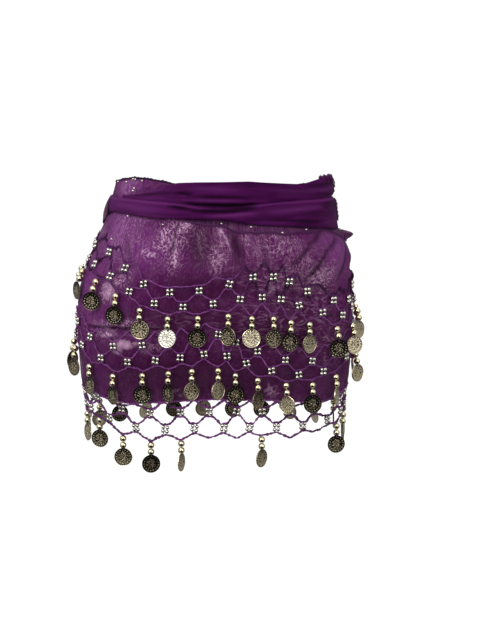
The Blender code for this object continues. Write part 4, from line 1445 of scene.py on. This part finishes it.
class Net:
    """One net, as in part.py: zigzag rows of strand a, b and c, with bead clusters between them."""

    def __init__(self, columns, rest, thread, top_row=None):
        self.columns, self.thread, self.top_row = columns, thread, top_row
        self.rest = rest  # how far out its strands lie from the cloth
        self.on_cloth = rest > 0

    def rise(self, turn):
        """How high the top strand stands above the clusters here."""
        return read(self.top_row, turn, "rise") if self.top_row else NET_RISE

    def midway(self, i):
        """(turn, down, tall) midway between column i and the next."""
        a, b = self.columns[i], self.columns[(i + 1) % len(self.columns)]
        return a.turn + (b.turn - a.turn) % 360 / 2, (a.down + b.down) / 2, (a.tall + b.tall) / 2

    def heights(self, i):
        """How far down the three rows run at column i, and midway to the next."""
        column = self.columns[i]
        turn, down, tall = self.midway(i)
        reach = (CLUSTER + STRAND) / 2
        upper = column.down - column.tall
        lower = down - SHORT_NET_DROP - TALL_NET_SHARE * (tall - SHORT_NET)
        if self.on_cloth:
            top = down - tall - reach - self.rise(wrapped(turn))
        else:
            top = read(CLOTH_HEM, wrapped(turn), "down") + 0.8
        return (
            {"a": upper - reach, "b": upper + reach, "c": column.down},
            {"a": top, "b": lower - reach, "c": lower + reach},
        )

    def softened(self, values):
        """Values along a closed strand, with the corners of its path taken off."""
        kernel = np.hanning(7)[1:-1]
        return np.convolve(np.pad(values, 2, mode="wrap"), kernel / kernel.sum(), "valid")

    def strand(self, mesh, name, width_at, width_mid):
        """One zigzag all round, slack and a little uneven."""
        path = []
        for i, column in enumerate(self.columns):
            at, mid = self.heights(i)
            places = [(column.turn, at[name], width_at), (self.midway(i)[0], mid[name], width_mid)]
            for turn, down, width in places:
                half = float(degrees_for(width / 2, turn, down))
                path += [(turn - half, down), (turn + half, down)] if width else [(turn, down)]
        path.append((path[0][0] + 360, path[0][1]))
        path = np.array(path)
        along = along_path(path * (DEGREE, 1))
        even = np.arange(0, along[-1], 1.0)
        turn, down = [self.softened(np.interp(even, along, path[:, k])) for k in (0, 1)]
        for ends in (slice(None, 2), slice(-2, None)):
            turn[ends] = np.interp(even[ends], along, path[:, 0])
        point, outward = form_place(turn, down)
        down = down + 0.45 * waves(point, (9, 9, 9), name) + 0.7 * waves(point, (31, 31, 31), name + " sag")
        out = self.rest + 0.15 * waves(point, (6, 6, 6), name + " lift")
        tone = strand_tone(turn, down) + 0.16 * waves(point, (13, 13, 13), name + " tone")
        tone = np.clip(tone, 0, 0.95)
        lumps = (1 + 0.30 * waves(point, (3.4, 3.4, 3.4), name + " lumps")) * (1 + 0.3 * tone)
        mesh.tube(surface(turn, down, out), outward, self.thread * lumps, closed=True, tone=tone)
        if not self.on_cloth:
            return
        # Fine threads that stray from it, most where it is dark
        for reach, size in ((0.9, 2.6), (1.5, 1.9)):
            key = name + f" fray {size}"
            fray = reach * waves(point, (size,) * 3, key) * (0.4 + 1.4 * tone)
            aside = reach * 0.5 * waves(point, (size,) * 3, key + " aside") * tone / DEGREE
            lift = 0.3 * waves(point, (3, 3, 3), key + " lift")
            stray = surface(turn + aside, down + fray, out + lift)
            darker_tone = np.clip(tone + 0.15, 0, 1)
            mesh.tube(stray, outward, 0.26 + 0.18 * tone, closed=True, sides=4, tone=darker_tone)

    def build(self, name, look, *nodes):
        """The upper two strands, the threads down the clusters, and the hem net's strand at the hem."""
        mesh = Mesh()
        self.strand(mesh, "a", CLUSTER, 0)
        self.strand(mesh, "b", CLUSTER, CLUSTER)
        for turn, down in self.clusters():
            half = float(degrees_for(SMALL_BEAD / 2, turn, down))
            for side in (-half, half):
                reach = (CLUSTER + STRAND) / 2
                levels = np.linspace(down - reach, down + reach, 12)
                turns = np.full(12, turn + side)
                mesh.tube(surface(turns, levels, self.bead_rest()), form_place(turns, levels)[1], 0.5)
        if not self.on_cloth:
            turns = np.arange(-180, 180, 0.35)
            levels = read(CLOTH_HEM, turns, "down") + 0.25 * np.sin(turns * 1.9)
            outward = form_place(turns, levels)[1]
            mesh.tube(surface(turns, levels, -FINE_CLOTH / 2), outward, self.thread, closed=True, tone=0.35)
        return mesh.build(name, look, "crochet", *nodes)

    def bead_rest(self):
        return SMALL_BEAD / 2 + 0.2 if self.on_cloth else self.rest

    def clusters(self):
        """The middle of every cluster, as its turn and how far down it is."""
        for i, column in enumerate(self.columns):
            at, mid = self.heights(i)
            yield column.turn, (at["a"] + at["b"]) / 2
            yield self.midway(i)[0], (mid["b"] + mid["c"]) / 2

    def build_clusters(self, name, look, *nodes):
        """Squares of four small beads, each square and each bead a little askew."""
        chance = random.Random(name)
        frames, centres = [], []
        for turn, down in self.clusters():
            tilt = math.radians(chance.uniform(-14, 14))
            across, fall = SMALL_BEAD / 2 * 1.06, SMALL_BEAD / 2 * 1.04
            for x, y in ((-across, -fall), (across, -fall), (-across, fall), (across, fall)):
                x, y = x * math.cos(tilt) - y * math.sin(tilt), x * math.sin(tilt) + y * math.cos(tilt)
                x += chance.uniform(-0.15, 0.15)
                y += chance.uniform(-0.15, 0.15)
                place = turn + float(degrees_for(x, turn, down)), down + y
                outward = form_place(*place)[1]
                lean = level_way(outward) * math.sin(tilt) + outward * chance.uniform(-0.2, 0.2)
                frames.append(upright_frame(unit(UP + lean), outward))
                centres.append(surface(*place, self.bead_rest()))
        mesh = Mesh()
        mesh.copies(bead_shape(SMALL_BEAD, 0.5, 12, 8), np.array(frames), np.array(centres))
        return mesh.build(name, look, "silver_beads", *nodes)

    def build_drops(self, prefix, looks, node):
        """The net's lowest strand, and on it each coin with its two beads."""
        thread, metal, coins = Mesh(), Mesh(), Mesh()
        self.strand(thread, "c", LINK, 0)
        beads, discs, pale = [], [], []
        for column in self.columns:
            if column.coin:
                hang(column, self, thread, beads, discs)
                pale.append(column.pale)
        metal.copies(bead_shape(BEAD, 0.7, 18, 11), *[np.array(x) for x in zip(*beads)])
        coins.copies(coin_shape(), *[np.array(x) for x in zip(*discs)], pale)
        thread.build(prefix + "_cord", looks["crochet"], "crochet", node)
        metal.build(prefix + "_large_beads", looks["gold"], "gold_beads", node)
        coins.build(prefix + "_coins", looks["coin"], "coins", node)


def strand_tone(turn, down):
    """How dark a strand is, as painted shade: darkest along the first net's upper edge, at the left and at
    the right.
    """
    turn = wrapped(turn)
    upper = 1 - smooth((down - 92) / 26)
    left = (1 - smooth((turn + 50) / 22)) * (1 - smooth((down - 108) / 24))
    right = smooth((turn - 2) / 14) * (1 - smooth((turn - 84) / 20)) * (1 - smooth((down - 112) / 30))
    lower_right = smooth((turn - 8) / 30) * (1 - smooth((turn - 100) / 20))
    hem = smooth((down - 226) / 12)
    tone = 0.16 + 0.10 * upper + 0.42 * left + 0.72 * right + 0.18 * lower_right + 0.42 * hem
    return np.clip(tone, 0, 0.92)


def hang(column, net, thread, beads, discs):
    """Two beads and a coin on one thread, plumb or pushed out by the cloth, as in part.py."""
    outward = form_place(column.turn, column.down)[1]
    sideways = level_way(outward)
    turned = math.radians(column.turned)
    bead_out = coin_out = HEM_OUT
    if net.on_cloth:
        bead_out = BEAD / 2 + BEAD_CLEAR
        coin_out = max(COIN_OUT, COIN / 2 * abs(math.sin(turned)) + COIN_CLEAR)
    top = STRAND / 2 + BEAD * 2

    def place(below, out):
        start = form_place(column.turn, column.down)[0] + out * outward
        plumb = np.array([start[0], start[1], -(column.down + below)])
        if not net.on_cloth:
            return plumb
        resting = surface(np.array(column.turn), np.array(column.down + below), out)
        return resting if (resting - plumb) @ outward > 0 else plumb

    def lean(below):
        return bead_out + (coin_out - bead_out) * below / top

    levels = np.linspace(-0.4, top + 1.6, 14)
    path = np.array([place(below, lean(min(below, top))) for below in levels])
    thread.tube(path, np.broadcast_to(outward, path.shape), 0.45)
    up = unit(path[0] - path[-1])
    for step in (0.5, 1.5):
        below = STRAND / 2 + BEAD * step
        beads.append((upright_frame(up, outward), place(below, lean(below))))
    face = outward * math.cos(turned) + sideways * math.sin(turned)
    side = sideways * math.cos(turned) - outward * math.sin(turned)
    tip = math.radians(COIN_TIP * column.pale**4)
    face = face * math.cos(tip) + UP * math.sin(tip)
    centre = place(top + COIN / 2 - 0.5, coin_out)
    discs.append((np.stack([side, np.cross(face, side), face], -1), centre))


# ---- The room ----


def stage():
    """A pale round floor that sweeps up into a wall all round."""
    # In metres: how high the floor lies, how far it reaches, the radius of its bend, the wall's height
    floor, radius, bend, wall = -1.2, 5.0, 1.2, 5.0
    centre, steps, count = 0.05, 8, 64
    profile = [(centre, floor), (radius - bend, floor)]
    for k in range(1, steps + 1):
        angle = math.pi / 2 * k / steps
        profile.append((radius - bend + bend * math.sin(angle), floor + bend - bend * math.cos(angle)))
    profile.append((radius, floor + wall))
    mesh = bpy.data.meshes.new("floor")
    angles = [math.tau * k / count for k in range(count)]
    points = [(reach * math.cos(a), reach * math.sin(a), z) for reach, z in profile for a in angles]
    faces = [
        (j * count + k, j * count + (k + 1) % count, (j + 1) * count + (k + 1) % count, (j + 1) * count + k)
        for j in range(len(profile) - 1)
        for k in range(count)
    ]
    mesh.from_pydata(points, [], faces + [tuple(reversed(range(count)))])
    mesh.shade_smooth()
    material = bpy.data.materials.new("floor")
    material.use_nodes = True
    shader = material.node_tree.nodes["Principled BSDF"]
    shader.inputs["Base Color"].default_value = (0.97, 0.97, 0.97, 1)
    shader.inputs["Roughness"].default_value = 0.9
    mesh.materials.append(material)
    sweep = bpy.data.objects.new("floor", mesh)
    bpy.context.scene.collection.objects.link(sweep)
    sweep.visible_glossy = False
    sweep.visible_shadow = False


# How light the surroundings are, from straight below at 0 to straight above at 1
Stop = namedtuple("Stop", "height light")
SKY = [Stop(*row) for row in (
    (0.0, 0.30),
    (0.36, 0.30),
    (0.5, 0.46),
    (0.62, 0.60),
    (0.8, 0.88),
    (1.0, 1.15),
)]
DARK_SIDE = (0.08, -0.74, -0.67)  # the room is dark that way, in front and below, and the coins mirror it
LIT_PLACE = Vector((0, 0, -0.15))
Lamp = namedtuple("Lamp", "name place size power")
LAMPS = [Lamp(*row) for row in (
    ("key", (-1.1, -1.9, 1.3), 1.4, 38),
    ("fill", (1.6, -1.7, 0.4), 1.3, 12),
    ("rim", (0.3, 1.8, 1.4), 1.0, 12),
)]


def studio_light():
    """A room that is brighter above than below, and three lamps."""
    world = bpy.data.worlds.new("studio")
    bpy.context.scene.world = world
    world.use_nodes = True
    tree = world.node_tree
    background = tree.nodes["Background"]
    place = tree.nodes.new("ShaderNodeTexCoord")
    parts = tree.nodes.new("ShaderNodeSeparateXYZ")
    ramp = tree.nodes.new("ShaderNodeValToRGB")
    half = tree.nodes.new("ShaderNodeMath")
    half.operation = "MULTIPLY_ADD"
    half.inputs[1].default_value = half.inputs[2].default_value = 0.5
    tree.links.new(place.outputs["Generated"], parts.inputs[0])
    tree.links.new(parts.outputs["Z"], half.inputs[0])
    tree.links.new(half.outputs[0], ramp.inputs[0])
    tree.links.new(ramp.outputs[0], background.inputs["Color"])
    elements = ramp.color_ramp.elements
    for position, _ in SKY[1:-1]:
        elements.new(position)
    for element, (position, level) in zip(elements, SKY):
        element.position = position
        element.color = (level, level, level, 1)
    toward = tree.nodes.new("ShaderNodeVectorMath")
    toward.operation = "DOT_PRODUCT"
    toward.inputs[1].default_value = DARK_SIDE
    spot = tree.nodes.new("ShaderNodeMapRange")
    limits = {"From Min": 0.60, "From Max": 0.82, "To Min": 1.0, "To Max": 0.03}
    for socket, value in limits.items():
        spot.inputs[socket].default_value = value
    tree.links.new(place.outputs["Generated"], toward.inputs[0])
    tree.links.new(toward.outputs["Value"], spot.inputs["Value"])
    tree.links.new(spot.outputs[0], background.inputs["Strength"])
    for row in LAMPS:
        lamp = bpy.data.lights.new(row.name, "AREA")
        lamp.size = row.size
        lamp.energy = row.power
        holder = bpy.data.objects.new(row.name, lamp)
        holder.location = row.place
        holder.rotation_euler = (LIT_PLACE - holder.location).to_track_quat("-Z", "Y").to_euler()
        bpy.context.scene.collection.objects.link(holder)


def camera():
    """Where the photograph was taken from: a little above the scarf, nearly two metres away."""
    elevation, distance = math.radians(9), 1.9
    target = Vector((0.01785, 0, -0.165))
    data = bpy.data.cameras.new("camera")
    data.lens = 92.9
    holder = bpy.data.objects.new("camera", data)
    back = Vector((0, -math.cos(elevation), math.sin(elevation)))
    holder.location = target + back * distance
    holder.rotation_euler = (-back).to_track_quat("-Z", "Y").to_euler()
    bpy.context.scene.collection.objects.link(holder)
    bpy.context.scene.camera = holder


def main():
    camera()
    studio_light()
    stage()
    bpy.context.scene.view_settings.view_transform = "Standard"
    looks = {
        "crochet": crochet_look(),
        "gold": bead_look("gold_bead", GOLD),
        "silver": bead_look("silver_bead", SILVER),
        "coin": coin_look(),
    }
    cloth = chiffon()
    band, upper_fold, end = pleat(), fan(), flap()
    trims = [top_edging(looks["crochet"]), side_edging(looks["crochet"])]
    fan_trim, flap_trim = fan_edging(looks["crochet"]), flap_edging(looks["crochet"])
    glints(looks["silver"])
    for name, front, rest, thread, top_row, nodes in (
        ("upper", UPPER, THREAD_OUT, THREAD, TOP_ROW, ["net_upper"]),
        ("middle", MIDDLE, THREAD_OUT, THREAD, None, ["net_middle"]),
        ("hem", HEM, HEM_OUT, HEM_THREAD, None, ["net_hem_front", "net_hem_back"]),
    ):
        net = Net(net_columns(front, HIDDEN_DROPS[name], seed=name), rest, thread, top_row)
        net.build(name + "_net", looks["crochet"], *nodes)
        net.build_clusters(name + "_small_beads", looks["silver"], *nodes)
        net.build_drops(name, looks, "coins_" + name)


main()
